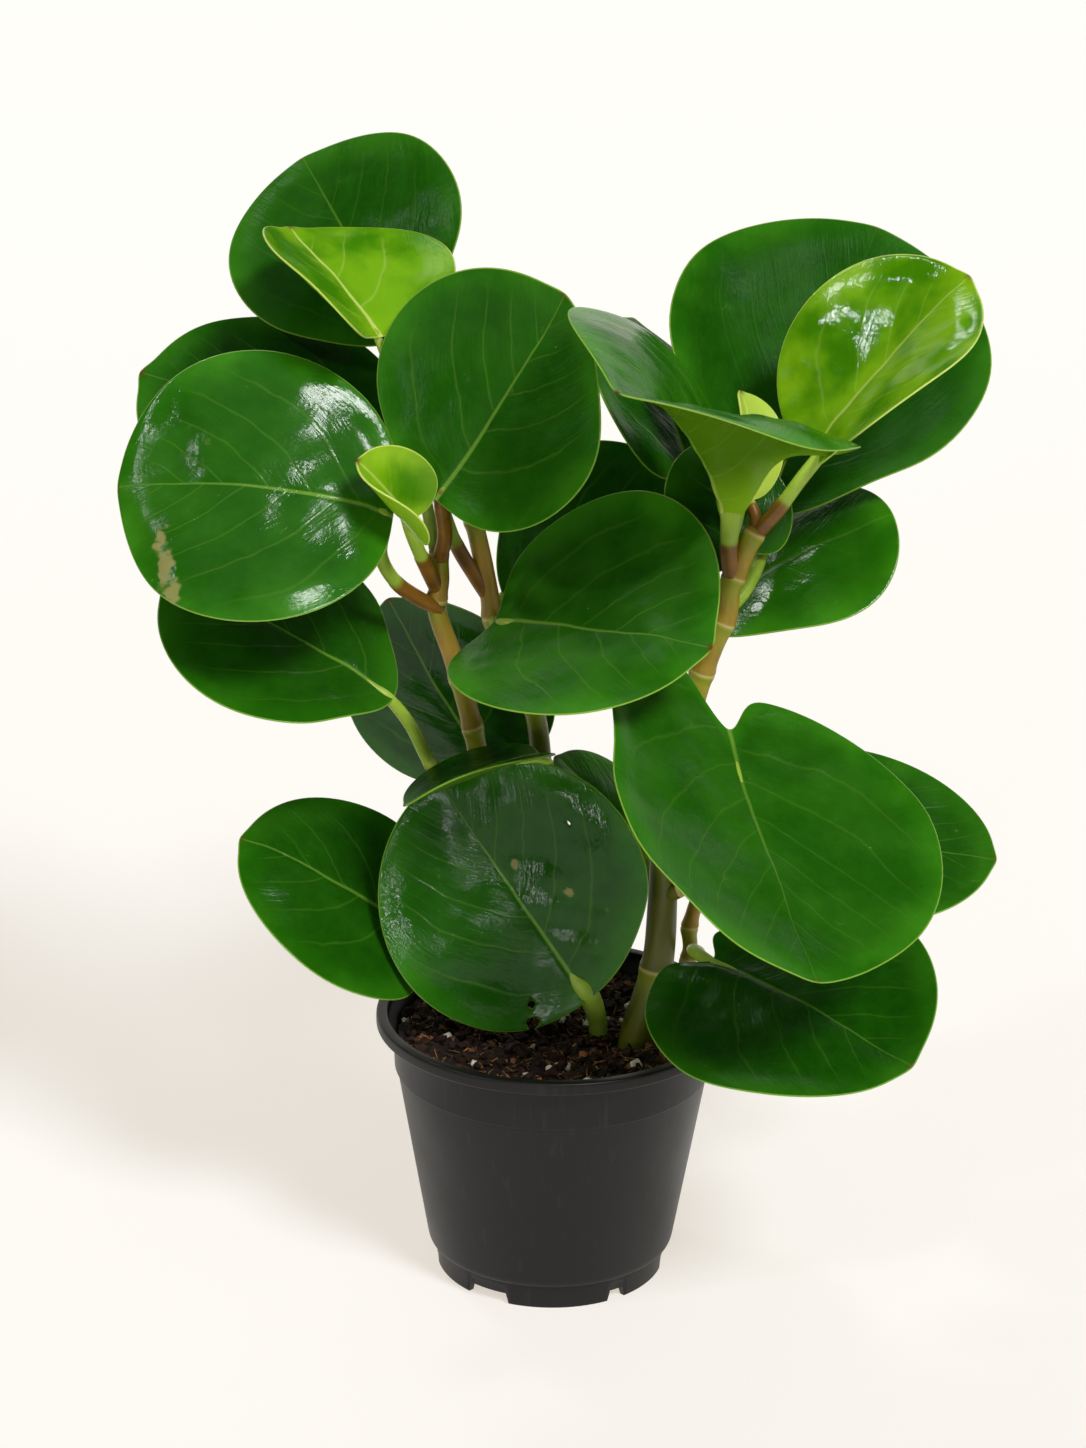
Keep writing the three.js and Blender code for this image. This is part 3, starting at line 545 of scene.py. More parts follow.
def leaf_material(settings):
    """Living leaf: a thick blade under a waxy skin. Dark green with faint paler veins and a thin clear
    margin. The wax gives bright highlights, and fine wrinkles along the veins break them up."""
    material, add = new_material("waxy_leaf_blade")
    along, across, edge, upper, tone, tip, run, scar, wax, rib_strength = (
        add("Attribute", attribute_name=name).outputs["Fac"]
        for name in ("along", "across", "edge", "upper", "tone", "tip", "run", "scar", "wax", "rib"))
    place = add("TexCoord").outputs["Object"]

    # Blotches about 20 mm across, mottling of 4 mm and grain of 1.5 mm, in metres of object space.
    blotch = add("TexNoise", {"Vector": place, "Scale": 50.0, "Detail": 3.0})
    mottle = add("TexNoise", {"Vector": place, "Scale": 240.0, "Detail": 4.0})
    grain = add("TexNoise", {"Vector": place, "Scale": 650.0, "Detail": 3.0})

    # A side vein lies where the wandering run is a whole number.
    stray = add("Math", {0: blotch, 1: 0.5, 2: run}, operation="MULTIPLY_ADD")
    gap = add("Math", {0: stray, 1: 0.5}, operation="PINGPONG")
    vein_line = add("MapRange", {"Value": gap, "From Min": 0.055, "From Max": 0.0}, **SOFT)
    vein_fade = add("MapRange", {"Value": edge, "From Min": 2.0, "From Max": 14.0}, **SOFT)
    vein = add("Math", {0: vein_line, 1: vein_fade}, operation="MULTIPLY")
    vein_mix = add("Math", {0: vein, 1: rib_strength}, operation="MULTIPLY")
    vein_mix = add("Math", {0: vein_mix, 1: 0.16}, operation="MULTIPLY")

    # The midrib narrows and fades from the petiole to the tip.
    size = add("Math", {0: across}, operation="ABSOLUTE")
    rib_width = add("MapRange", {"Value": along, "From Max": 70.0, "To Min": 1.15, "To Max": 0.3})
    rib_reach = add("Math", {0: size, 1: rib_width}, operation="DIVIDE")
    rib = add("MapRange", {"Value": rib_reach, "From Min": 1.0, "From Max": 0.2}, **SOFT)
    rib_fade = add("MapRange", {"Value": along, "From Max": 80.0, "To Min": 0.95, "To Max": 0.3})
    rib_fade = add("Math", {0: rib_fade, 1: rib_strength}, operation="MULTIPLY")
    rib_mix = add("Math", {0: rib, 1: rib_fade}, operation="MULTIPLY")
    clear = add("MapRange", {"Value": edge, "From Min": 0.5, "From Max": 0.1, "To Max": 0.8}, **SOFT)

    # Old leaves turn a clear mid green before they turn yellow-green.
    patchy = add("MapRange", {"Value": blotch, "From Min": 0.38, "From Max": 0.62})
    old = add("Mix", {0: mottle, 6: "#0d3a02", 7: settings.mature_colour}, **COLOURS)
    middle = add("Mix", {0: patchy, 6: "#2a700a", 7: "#3f8a14"}, **COLOURS)
    young = add("Mix", {0: patchy, 6: "#4a8c00", 7: settings.young_colour}, **COLOURS)
    pale = add("MapRange", {"Value": tone, "From Min": 1.0, "From Max": 1.5})
    young = add("Mix", {0: pale, 6: young, 7: "#b9d24e"}, **COLOURS)
    grown = add("MapRange", {"Value": tone, "From Max": 0.3})
    fresh = add("MapRange", {"Value": tone, "From Min": 0.3})
    full = add("Mix", {0: grown, 6: old, 7: middle}, **COLOURS)
    flesh = add("Mix", {0: fresh, 6: full, 7: young}, **COLOURS)
    back = add("Mix", {0: tone, 6: settings.underside_colour, 7: "#86b41c"}, **COLOURS)
    skin = add("Mix", {0: upper, 6: back, 7: flesh}, **COLOURS)

    # Over the skin come the veins, midrib and margin, then pale flecks, dry scars and the brown tip.
    line = add("Mix", {0: tone, 6: "#74a634", 7: "#d6e574"}, **COLOURS)
    fleck = specks(add, place, 110.0, 0.8, (0.034, 0.02), 0.45)
    ragged = add("Math", {0: mottle, 1: 1.3, 2: scar}, operation="MULTIPLY_ADD")
    dry = add("MapRange", {"Value": ragged, "From Min": 0.9, "From Max": 1.25, "To Max": 0.6}, **SOFT)
    colour = skin
    for share, shade in ((vein_mix, line), (rib_mix, line), (clear, line), (fleck, "#a5bf78"),
                         (dry, "#a8995f"), (tip, "#5e3015")):
        colour = add("Mix", {0: share, 6: colour, 7: shade}, **COLOURS)

    # Wrinkles 1.5 mm wide and four times as long lie along the side veins.
    ribs = add("CombineXYZ", {0: stray, 1: across, 2: upper})
    stretched = add("Mapping", {"Vector": ribs, "Scale": (7.0, 0.14, 1.0)})
    wrinkle = add("TexNoise", {"Vector": stretched, "Scale": 1.0, "Detail": 4.0, "Roughness": 0.6})
    crinkled = add("Math", {0: mottle, 1: 0.6, 2: wrinkle}, operation="MULTIPLY_ADD")
    relief = add("Math", {0: vein, 1: -0.25, 2: crinkled}, operation="MULTIPLY_ADD")
    # Crazed skin in cells of 1.3 mm, a little coarser than real so that it breaks up the highlights.
    crazed = add("TexVoronoi", {"Vector": place, "Scale": 770.0})
    relief = add("Math", {0: crazed, 1: 0.16, 2: relief}, operation="MULTIPLY_ADD")
    # The waxier the skin, the smoother and glossier it is.
    depth = add("MapRange", {"Value": wax, "From Max": 1.4, "To Min": 0.5, "To Max": 0.26})
    coarse = add("Bump", {"Height": relief, "Strength": depth, "Distance": 0.0005})
    fine = add("Bump", {"Height": grain, "Strength": 0.16, "Distance": 0.0002, "Normal": coarse})
    worn = add("MapRange", {"Value": blotch, "From Min": 0.35, "From Max": 0.65,
                            "To Min": 0.36, "To Max": 0.48})
    polish = add("Math", {0: wax, 1: 0.5}, operation="POWER")
    sheen = add("Math", {0: polish, 1: -0.28, 2: worn}, operation="MULTIPLY_ADD")
    rough = add("Mix", {0: dry, 2: sheen, 3: 0.6})
    gloss = add("MapRange", {"Value": wax, "From Max": 1.4, "To Min": 0.05, "To Max": 0.5})
    shader = add("BsdfPrincipled", {
        "Base Color": colour, "Roughness": rough, "Normal": fine, "IOR": 1.4, "Specular IOR Level": gloss,
        "Subsurface Weight": 0.08, "Subsurface Scale": 0.0015, "Subsurface Radius": (0.4, 1.0, 0.1)})
    add("OutputMaterial", {"Surface": shader})
    return material


def petiole_material(settings):
    """Living leaf stalk: smooth, fleshy and pale green, with the dry brown sheath at its foot."""
    material, add = new_material("fleshy_petiole")
    brown = add("Attribute", attribute_name="brown").outputs["Fac"]
    place = add("TexCoord").outputs["Object"]
    # Clouds of about 6 mm.
    cloud = add("TexNoise", {"Vector": place, "Scale": 160.0, "Detail": 3.0})
    green = add("Mix", {0: cloud, 6: "#83a627", 7: settings.petiole_colour}, **COLOURS)
    sheath = add("Mix", {0: cloud, 6: "#4a2c08", 7: "#a87420"}, **COLOURS)
    colour = add("Mix", {0: brown, 6: green, 7: sheath}, **COLOURS)
    bump = add("Bump", {"Height": cloud, "Strength": 0.25, "Distance": 0.0004})
    shader = add("BsdfPrincipled", {
        "Base Color": colour, "Roughness": 0.38, "Normal": bump, "IOR": 1.45,
        "Subsurface Weight": 0.15, "Subsurface Scale": 0.002, "Subsurface Radius": (0.6, 1.0, 0.2)})
    add("OutputMaterial", {"Surface": shader})
    return material


# ---- Stems ----------------------------------------------------------------------------------

# Relief of a stem, in millimetres: swelling and ring scar at a node, and the foot in the soil.
NODE_SWELL = 0.55
NODE_REACH = 2.2
SCAR_DEPTH = 0.22
SCAR_REACH = 0.45
SCAR_TINT_REACH = 0.4
FRESH_REACH = 7.0
FOOT_SWELL = 0.6
STEM_RING = 0.55


def stem_mesh(stem):
    """A jointed stem: each node a shallow swelling with a ring scar, the foot flared into the soil."""
    low, high = stem["radius"]
    nodes = np.array(stem["nodes"])
    _, length = smooth_path(stem["path"], 200)

    def at_nodes(share, reach):
        return np.exp(-(((share[:, None] - nodes) * length / reach) ** 2)).max(1)

    def radius(share):
        wall = low + (high - low) * share + NODE_SWELL * at_nodes(share, NODE_REACH)
        wall += FOOT_SWELL * hump(share - 0.08, 0.06) - SCAR_DEPTH * at_nodes(share, SCAR_REACH)
        return wall * (1 - 0.3 * smooth_step(share * length, length - 1.5, length))

    def uneven(share, angle):
        return 0.035 * np.sin(2 * angle + 9 * share) + 0.02 * np.sin(3 * angle - 31 * share)

    bm, share = limb(stem["path"], radius, int(length / STEM_RING), 28, uneven)
    above = np.concatenate([nodes, [1.3]])
    to_next = np.where(share[:, None] < above, above - share[:, None], 9).min(1) * length
    return bm, {"scar": at_nodes(share, SCAR_TINT_REACH), "under": hump(to_next, FRESH_REACH),
                "height": share}


def stem_material(settings):
    """Living succulent stem: smooth skin, olive low down and golden brown above, yellow-green under
    each pale ring scar."""
    material, add = new_material("succulent_stem")
    scar, under, height = (add("Attribute", attribute_name=name).outputs["Fac"]
                           for name in ("scar", "under", "height"))
    place = add("TexCoord").outputs["Object"]
    # Streaks about 4 mm across and 14 mm high.
    stretched = add("Mapping", {"Vector": place, "Scale": (260.0, 260.0, 70.0)})
    streak = add("TexNoise", {"Vector": stretched, "Scale": 1.0, "Detail": 4.0})
    low = add("Mix", {0: streak, 6: "#3c4204", 7: settings.low_colour}, **COLOURS)
    high = add("Mix", {0: streak, 6: "#77600c", 7: settings.high_colour}, **COLOURS)
    lift = add("MapRange", {"Value": height, "From Min": 0.45, "From Max": 0.75}, **SOFT)
    fresh = add("Math", {0: under, 1: 0.75}, operation="MULTIPLY")
    colour = low
    for share, shade in ((lift, high), (fresh, "#8fa01c"), (scar, "#d3bf78")):
        colour = add("Mix", {0: share, 6: colour, 7: shade}, **COLOURS)
    bump = add("Bump", {"Height": streak, "Strength": 0.35, "Distance": 0.0005})
    shader = add("BsdfPrincipled", {
        "Base Color": colour, "Roughness": 0.42, "Normal": bump, "IOR": 1.45,
        "Subsurface Weight": 0.08, "Subsurface Scale": 0.002, "Subsurface Radius": (0.8, 0.8, 0.2)})
    add("OutputMaterial", {"Surface": shader})
    return material


# ---- Pot ------------------------------------------------------------------------------------

# Sizes in millimetres.
RIM_RADIUS = 54
POT_HEIGHT = 84
LIP_HEIGHT = 4
LIP_INNER_RADIUS = 50.6
COLLAR_BOTTOM = 66
COLLAR_RADIUS = 48.4
COLLAR_STEP = 0.7
COLLAR_FLARE = 0.6
BODY_BOTTOM = 8.2
BODY_BOTTOM_RADIUS = 38
FOOT_RADIUS = 35.5
FOOT_WIDTH = 2.4
WALL = 1.2
BASE_THICKNESS = 1.5
CENTRE_PAD_RADIUS = 20
CHANNEL_RISE = 3.5
DRAIN_HOLE_RADIUS = 3
DRAIN_HOLE_COUNT = 8
DRAIN_CIRCLE_RADIUS = 26.5

# The wide and the narrow notches of the foot ring: bearing and half width in degrees, three times round.
NOTCHES = [(bearing + turn, half_width) for bearing, half_width in ((237.5, 11.2), (305.7, 4.5))
           for turn in (0, 120, 240)]


def rounded(points, radius_by_corner, steps=4):
    """A profile whose named corners are rounded off. radius_by_corner maps a corner's place in the list
    to how far from it the rounding starts."""
    out = []
    for i, corner in enumerate(points):
        reach = radius_by_corner.get(i, 0)
        if not reach:
            out.append(corner)
            continue
        here = Vector(corner)
        before, after = Vector(points[i - 1]) - here, Vector(points[i + 1]) - here
        start = here + before.normalized() * min(reach, before.length * 0.48)
        end = here + after.normalized() * min(reach, after.length * 0.48)
        for k in range(steps + 1):
            t = k / steps
            out.append(tuple(start * (1 - t) ** 2 + here * 2 * t * (1 - t) + end * t ** 2))
    return out


def pot_mesh():
    """Turned in one closed profile. The foot ring's under edge is then lifted at the notches."""
    lip_bottom = POT_HEIGHT - LIP_HEIGHT
    collar_top = COLLAR_RADIUS + COLLAR_FLARE
    body_top = COLLAR_RADIUS - COLLAR_STEP
    channel_top = CHANNEL_RISE + BASE_THICKNESS
    points = [
        (0, 0), (CENTRE_PAD_RADIUS, 0), (CENTRE_PAD_RADIUS + 0.5, CHANNEL_RISE),
        (FOOT_RADIUS - FOOT_WIDTH - 0.4, CHANNEL_RISE), (FOOT_RADIUS - FOOT_WIDTH, 0),
        (FOOT_RADIUS - 0.3, 0), (FOOT_RADIUS + 0.2, BODY_BOTTOM - 0.4),
        (BODY_BOTTOM_RADIUS - 0.7, BODY_BOTTOM), (BODY_BOTTOM_RADIUS, BODY_BOTTOM + 1.2),
        (body_top, COLLAR_BOTTOM), (COLLAR_RADIUS, COLLAR_BOTTOM + 0.35),
        (collar_top, lip_bottom - 0.3), (RIM_RADIUS - 0.5, lip_bottom), (RIM_RADIUS, lip_bottom + 0.5),
        (RIM_RADIUS, POT_HEIGHT - 0.2), (RIM_RADIUS - 1.2, POT_HEIGHT),
        (LIP_INNER_RADIUS, POT_HEIGHT - 0.1), (LIP_INNER_RADIUS - 0.2, POT_HEIGHT - 2.2),
        (collar_top - WALL, lip_bottom - 2), (body_top - WALL, COLLAR_BOTTOM),
        (BODY_BOTTOM_RADIUS - WALL, BODY_BOTTOM + 1.2), (FOOT_RADIUS - 1.4, channel_top),
        (CENTRE_PAD_RADIUS - 0.5, channel_top), (CENTRE_PAD_RADIUS - 1, BASE_THICKNESS),
        (0, BASE_THICKNESS)]
    corners = {1: 0.5, 2: 0.6, 3: 0.6, 4: 0.3, 5: 0.5, 6: 0.5, 7: 0.6, 8: 1.2, 9: 0.2, 10: 0.3, 11: 0.8,
               12: 0.3, 13: 0.3, 14: 1.3, 15: 0.8, 16: 0.7, 17: 1.0, 18: 1.5}
    bm = turned(rounded(points, corners), 240)
    raw = coordinates(bm)
    angle = np.degrees(np.arctan2(raw[:, 1], raw[:, 0]))
    radius = np.hypot(raw[:, 0], raw[:, 1])
    foot = (radius > FOOT_RADIUS - FOOT_WIDTH - 0.5) & (raw[:, 2] < CHANNEL_RISE)
    for middle, half_width in NOTCHES:
        away = np.abs((angle - middle + 180) % 360 - 180)
        open_here = foot & (away < half_width)
        raw[open_here, 2] = CHANNEL_RISE
    move_points(bm, raw)
    return bm


def cut(piece, cutter):
    """Cuts one object out of another for good, and removes the cutter."""
    step = piece.modifiers.new("cut", "BOOLEAN")
    step.operation = "DIFFERENCE"
    step.solver = "EXACT"
    step.object = cutter
    bpy.context.view_layer.update()
    done = bpy.data.meshes.new_from_object(piece.evaluated_get(bpy.context.evaluated_depsgraph_get()))
    piece.modifiers.clear()
    piece.data = done
    bpy.data.objects.remove(cutter)


def pot_material(settings):
    """Injection-moulded black polypropylene: dark grey-black, matt with a fine grain, a little dust and
    faint upright scuffs from handling."""
    material, add = new_material("moulded_black_polypropylene")
    place = add("TexCoord").outputs["Object"]
    # Dust in patches of 36 mm, mould grain of 0.4 mm, and scuffs 2.4 mm across and 28 mm high.
    dust = add("TexNoise", {"Vector": place, "Scale": 28.0, "Detail": 5.0})
    grain = add("TexNoise", {"Vector": place, "Scale": 2400.0, "Detail": 1.0})
    drawn = add("Mapping", {"Vector": place, "Scale": (420.0, 420.0, 36.0)})
    scuff = add("TexNoise", {"Vector": drawn, "Scale": 1.0, "Detail": 5.0})
    worn = add("MapRange", {"Value": scuff, "From Min": 0.6, "From Max": 0.8, "To Max": 0.3})
    speck = specks(add, place, 150.0, 0.85, (0.05, 0.025), 0.6)
    colour = settings.plastic_colour
    for share, shade in ((dust, settings.dusty_colour), (worn, "#3c3935"), (speck, "#a59c8e")):
        colour = add("Mix", {0: share, 6: colour, 7: shade}, **COLOURS)
    rough = add("MapRange", {"Value": dust, "From Min": 0.3, "From Max": 0.7,
                             "To Min": 0.36, "To Max": 0.5})
    bump = add("Bump", {"Height": grain, "Strength": 0.25, "Distance": 0.00008})
    shader = add("BsdfPrincipled", {"Base Color": colour, "Roughness": rough, "Normal": bump, "IOR": 1.36})
    add("OutputMaterial", {"Surface": shader})
    return material


# ---- Soil -----------------------------------------------------------------------------------

# Sizes in millimetres. The peat keeps a hair's gap to the pot.
SOIL_TOP = 77
SOIL_GAP = 0.35
SOIL_DISH = 1.2
SOIL_DISH_RADIUS = 47
SOIL_CRUMB = 0.7
CLOD_LENGTH = 4.5
LIFT_ON_CLODS = 0.9
SOIL_RADIUS = COLLAR_RADIUS + COLLAR_FLARE - WALL - SOIL_GAP


def soil_height(x, y):
    dish = SOIL_DISH * (1 - (x * x + y * y) / SOIL_DISH_RADIUS ** 2)
    crumbs = np.sin(0.31 * x + 1.7) * np.cos(0.27 * y) + 0.6 * np.sin(0.55 * y - 0.47 * x)
    return SOIL_TOP - dish + SOIL_CRUMB * crumbs


def clod(x, y):
    """The larger clods, from about -1 to 1."""
    return noise.noise(Vector((x, y, 3)) / CLOD_LENGTH)


def soil_mesh():
    """A plug that fills the pot, its top broken up into clods of a few millimetres."""
    body_inner = COLLAR_RADIUS - COLLAR_STEP - WALL - SOIL_GAP
    bottom = BASE_THICKNESS + SOIL_GAP
    channel_top = CHANNEL_RISE + bottom
    radii = [SOIL_RADIUS - 0.2 - 0.55 * i for i in range(85)]
    profile = [(0, bottom), (CENTRE_PAD_RADIUS - 1.35, bottom),
               (CENTRE_PAD_RADIUS - 0.85, channel_top), (FOOT_RADIUS - 1.9, channel_top),
               (BODY_BOTTOM_RADIUS - WALL - SOIL_GAP, BODY_BOTTOM + 1.6), (body_inner, COLLAR_BOTTOM)]
    profile += [(r, SOIL_TOP) for r in radii] + [(0, SOIL_TOP)]
    bm = turned(profile, 220)
    raw = coordinates(bm)
    top = raw[:, 2] > SOIL_TOP - 0.01
    clods = np.array([2.0 * clod(x, y) + 1.1 * noise.noise(Vector((x, y, 9)) / 1.9)
                      + 0.5 * noise.noise(Vector((x, y, 5)) / 0.9) for x, y in raw[top, :2]])
    raw[top, 2] = soil_height(raw[top, 0], raw[top, 1]) + clods
    move_points(bm, raw)
    return bm


def spot(draw, margin):
    """A random place on the soil, at least margin away from its edge."""
    angle, reach = draw.uniform(0, math.tau), (SOIL_RADIUS - margin) * math.sqrt(draw.random())
    return reach * math.cos(angle), reach * math.sin(angle)


def crumb_mesh(count, sizes, flatness, seed, segments=1):
    """Many small angular grains lying on the soil, each a jittered icosphere."""
    draw = random.Random(seed)
    bm = bmesh.new()
    for _ in range(count):
        x, y = spot(draw, 1.5)
        size = draw.uniform(*sizes) * (0.7 + 0.6 * draw.random())
        z = float(soil_height(x, y)) + 0.25 * size + LIFT_ON_CLODS * clod(x, y)
        stretch = Vector((1.0, draw.uniform(0.55, 1.0), draw.uniform(*flatness)))
        turn = Matrix.Rotation(draw.uniform(0, math.tau), 4, "Z") @ Matrix.Rotation(
            draw.uniform(-0.6, 0.6), 4, "X") @ Matrix.Rotation(draw.uniform(-0.6, 0.6), 4, "Y")
        place = Matrix.Translation((x, y, z)) @ turn @ Matrix.Diagonal((*(stretch * size / 2), 1))
        made = bmesh.ops.create_icosphere(bm, subdivisions=segments, radius=1.0, matrix=place)
        for vertex in made["verts"]:
            vertex.co += Vector([draw.uniform(-0.13, 0.13) * size for _ in range(3)])
    return bm


def fibre_mesh(count, seed):
    """Short peat fibres and root ends: thin bent cones that lie across the clods."""
    draw = random.Random(seed)
    bm = bmesh.new()
    for _ in range(count):
        x, y = spot(draw, 3)
        long = draw.uniform(2.0, 6.5)
        z = float(soil_height(x, y)) + 0.9 + LIFT_ON_CLODS * clod(x, y)
        turn = Matrix.Rotation(draw.uniform(0, math.tau), 4, "Z") @ Matrix.Rotation(
            math.pi / 2 + draw.uniform(-0.5, 0.5), 4, "X")
        before = len(bm.verts)
        made = bmesh.ops.create_cone(bm, cap_ends=True, segments=5, radius1=draw.uniform(0.12, 0.3),
                                     radius2=0.08, depth=long)
        edges = {edge for vertex in made["verts"] for edge in vertex.link_edges}
        uprights = [edge for edge in edges if edge.calc_length() > long / 2]
        bmesh.ops.subdivide_edges(bm, edges=uprights, cuts=2)
        bow = draw.uniform(-0.2, 0.2) * long
        bm.verts.ensure_lookup_table()
        for vertex in bm.verts[before:]:
            vertex.co.x += bow * (1 - (2 * vertex.co.z / long) ** 2)
            vertex.co = Matrix.Translation((x, y, z)) @ turn @ vertex.co
    return bm


def grain_material(name, dark, light, roughness):
    """Dry matter from the potting mix, matt and varied from grain to grain."""
    material, add = new_material(name)
    place = add("TexCoord").outputs["Object"]
    # Clouds of 2.4 mm, about the size of a grain.
    each = add("TexNoise", {"Vector": place, "Scale": 420.0, "Detail": 2.0})
    spread = add("MapRange", {"Value": each, "From Min": 0.35, "From Max": 0.65})
    colour = add("Mix", {0: spread, 6: dark, 7: light}, **COLOURS)
    bump = add("Bump", {"Height": each, "Strength": 0.6, "Distance": 0.0006})
    shader = add("BsdfPrincipled", {
        "Base Color": colour, "Roughness": roughness, "Normal": bump, "IOR": 1.4})
    add("OutputMaterial", {"Surface": shader})
    return material


def soil_material():
    """Peat: nearly black where its relief is low, dark brown on the clods, with a faint wet gloss."""
    material, add = new_material("dark_peat")
    place = add("TexCoord").outputs["Object"]
    # Clods of 3 mm, and drier bits of 1.1 mm.
    clods = add("TexNoise", {"Vector": place, "Scale": 330.0, "Detail": 6.0, "Roughness": 0.65})
    bits = add("TexNoise", {"Vector": place, "Scale": 900.0, "Detail": 3.0})
    # The colour runs from nearly black where the relief is low to dark brown where it is high.
    peat_by_height = add("Mix", {0: clods, 6: "#080402", 7: "#1f120a"}, **COLOURS)
    dry = add("MapRange", {"Value": bits, "From Min": 0.6, "From Max": 0.72, "To Max": 0.8})
    colour = add("Mix", {0: dry, 6: peat_by_height, 7: "#4d2f1a"}, **COLOURS)
    bump = add("Bump", {"Height": clods, "Strength": 0.9, "Distance": 0.0015})
    shader = add("BsdfPrincipled", {"Base Color": colour, "Roughness": 0.75, "Normal": bump, "IOR": 1.4})
    add("OutputMaterial", {"Surface": shader})
    return material


# ---- Settings -------------------------------------------------------------------------------

def colour(name, description, code):
    """An RGBA setting whose default is an sRGB hex colour."""
    return FloatVectorProperty(name=name, description=description, default=hex_colour(code),
                               subtype="COLOR", size=4, min=0, max=1)


def distance(name, description, default, low, high):
    """A length setting, given in millimetres."""
    return FloatProperty(name=name, description=description, default=default * MM, min=low * MM,
                         max=high * MM, subtype="DISTANCE", unit="LENGTH")


class PLANT_PG_pot(bpy.types.PropertyGroup):
    plastic_colour: colour("Plastic", "Colour of the clean plastic", "#0d0c0c")
    dusty_colour: colour("Dusty plastic", "Colour of the plastic where dust lies", "#171514")


class PLANT_PG_stems(bpy.types.PropertyGroup):
    low_colour: colour("Lower stem", "Lighter streaks of the olive lower stem", "#75781a")
    high_colour: colour("Upper stem", "Lighter streaks of the golden upper stem", "#c8a136")


class PLANT_PG_leaves(bpy.types.PropertyGroup):
    blade_thickness: distance("Blade thickness", "Thickness of a blade in its middle", 1.2, 0.4, 3)
    edge_thickness: distance("Edge thickness", "Thickness of a blade inside its margin", 0.6, 0.3, 3)
    vein_spacing: distance("Vein spacing", "Distance between side veins on the midrib", 12.5, 4, 40)
    ripple: distance("Ripple", "Height of the soft waves of a blade", 0.45, 0, 3)
    mature_colour: colour("Mature leaf", "Lighter mottling of an old blade", "#1d5808")
    young_colour: colour("Young leaf", "Lighter patches of a young blade", "#8cbf12")
    underside_colour: colour("Underside", "Under face of an old blade", "#375f06")
    petiole_colour: colour("Petiole", "Lighter clouds on the leaf stalks", "#b3cf4c")


class PLANT_PG_soil(bpy.types.PropertyGroup):
    crumbs: IntProperty(name="Crumbs", description="Number of peat crumbs", default=1200, min=0)
    fibres: IntProperty(name="Fibres", description="Number of peat fibres", default=420, min=0)
    perlite: IntProperty(name="Perlite", description="Number of perlite grains", default=48, min=0)


class PLANT_PG_stage(bpy.types.PropertyGroup):
    floor_colour: FloatVectorProperty(
        name="Floor", description="Colour of the studio floor", subtype="COLOR", size=3,
        default=(0.35, 0.38, 0.41), min=0, max=1)
    floor_glow: FloatVectorProperty(
        name="Floor glow", description="Light that the floor gives off by itself", subtype="COLOR",
        size=3, default=(0.66, 0.60, 0.525), min=0, max=1)
    key_strength: FloatProperty(
        name="Key light", description="Strength of the soft light at the upper right", default=2.25, min=0)
    sky: FloatProperty(name="Sky", description="Strength of the even light around", default=0.06, min=0)


# ---- Operators ------------------------------------------------------------------------------

class PLANT_OT_pot(bpy.types.Operator):
    """Turns the nursery pot, with its foot notches and drain holes"""
    bl_idname = "plant.pot"
    bl_label = "Pot"

    def execute(self, context):
        piece = finish_mesh(pot_mesh(), "nursery_pot", pot_material(context.scene.plant_pot))
        holes = bmesh.new()
        for i in range(DRAIN_HOLE_COUNT):
            turn = Matrix.Rotation(i * math.tau / DRAIN_HOLE_COUNT, 4, "Z")
            at = Matrix.Translation((DRAIN_CIRCLE_RADIUS * MM, 0, CHANNEL_RISE * MM))
            bmesh.ops.create_cone(holes, cap_ends=True, segments=32, radius1=DRAIN_HOLE_RADIUS * MM,
                                  radius2=DRAIN_HOLE_RADIUS * MM, depth=6 * MM, matrix=turn @ at)
        cut(piece, loose_object(holes, "drain_holes"))
        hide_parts("pot")
        return {"FINISHED"}


class PLANT_OT_soil(bpy.types.Operator):
    """Fills the pot with peat, and scatters crumbs, fibres and perlite on it"""
    bl_idname = "plant.soil"
    bl_label = "Soil"

    def execute(self, context):
        settings = context.scene.plant_soil
        peat = finish_mesh(soil_mesh(), "peat_surface", soil_material())
        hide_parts("soil")
        crumbs = crumb_mesh(settings.crumbs, (0.9, 4.2), (0.5, 0.9), 11)
        bark = crumb_mesh(settings.crumbs // 4, (0.8, 3.2), (0.35, 0.7), 12)
        fibres = fibre_mesh(settings.fibres, 13)
        perlite = crumb_mesh(settings.perlite, (1.5, 3.4), (0.6, 0.95), 14, 2)
        for name, bm, matter, dark, light, roughness, smooth in (
                ("peat_crumbs", crumbs, "dry_peat", "#0a0503", "#38200f", 0.9, False),
                ("bark_chips", bark, "composted_bark", "#3a200e", "#a56a38", 0.8, False),
                ("peat_fibres", fibres, "peat_fibre", "#6b4526", "#b98552", 0.8, True),
                ("perlite_grains", perlite, "perlite", "#c9bda8", "#f0e9dc", 0.85, True)):
            material = grain_material(matter, dark, light, roughness)
            finish_mesh(bm, name, material, smooth=smooth)
        return {"FINISHED"}


class PLANT_OT_stems(bpy.types.Operator):
    """Grows the three stems and the side shoot"""
    bl_idname = "plant.stems"
    bl_label = "Stems"

    def execute(self, context):
        skin = stem_material(context.scene.plant_stems)
        for stem in STEMS:
            bm, attributes = stem_mesh(stem)
            piece = finish_mesh(bm, "ringed_stem_" + stem["name"], skin, attributes)
            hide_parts("stem_" + stem["name"])
        bm, share = limb(STUB, lambda share: 2.9 - 0.8 * share, 12, 24,
                         lambda share, angle: 0.12 * np.sin(3 * angle + 1) * share)
        broken = {"scar": smooth_step(share, 0.93, 0.99), "under": 0 * share, "height": 0 * share}
        finish_mesh(bm, "broken_leaf_stub", skin, broken)
        return {"FINISHED"}


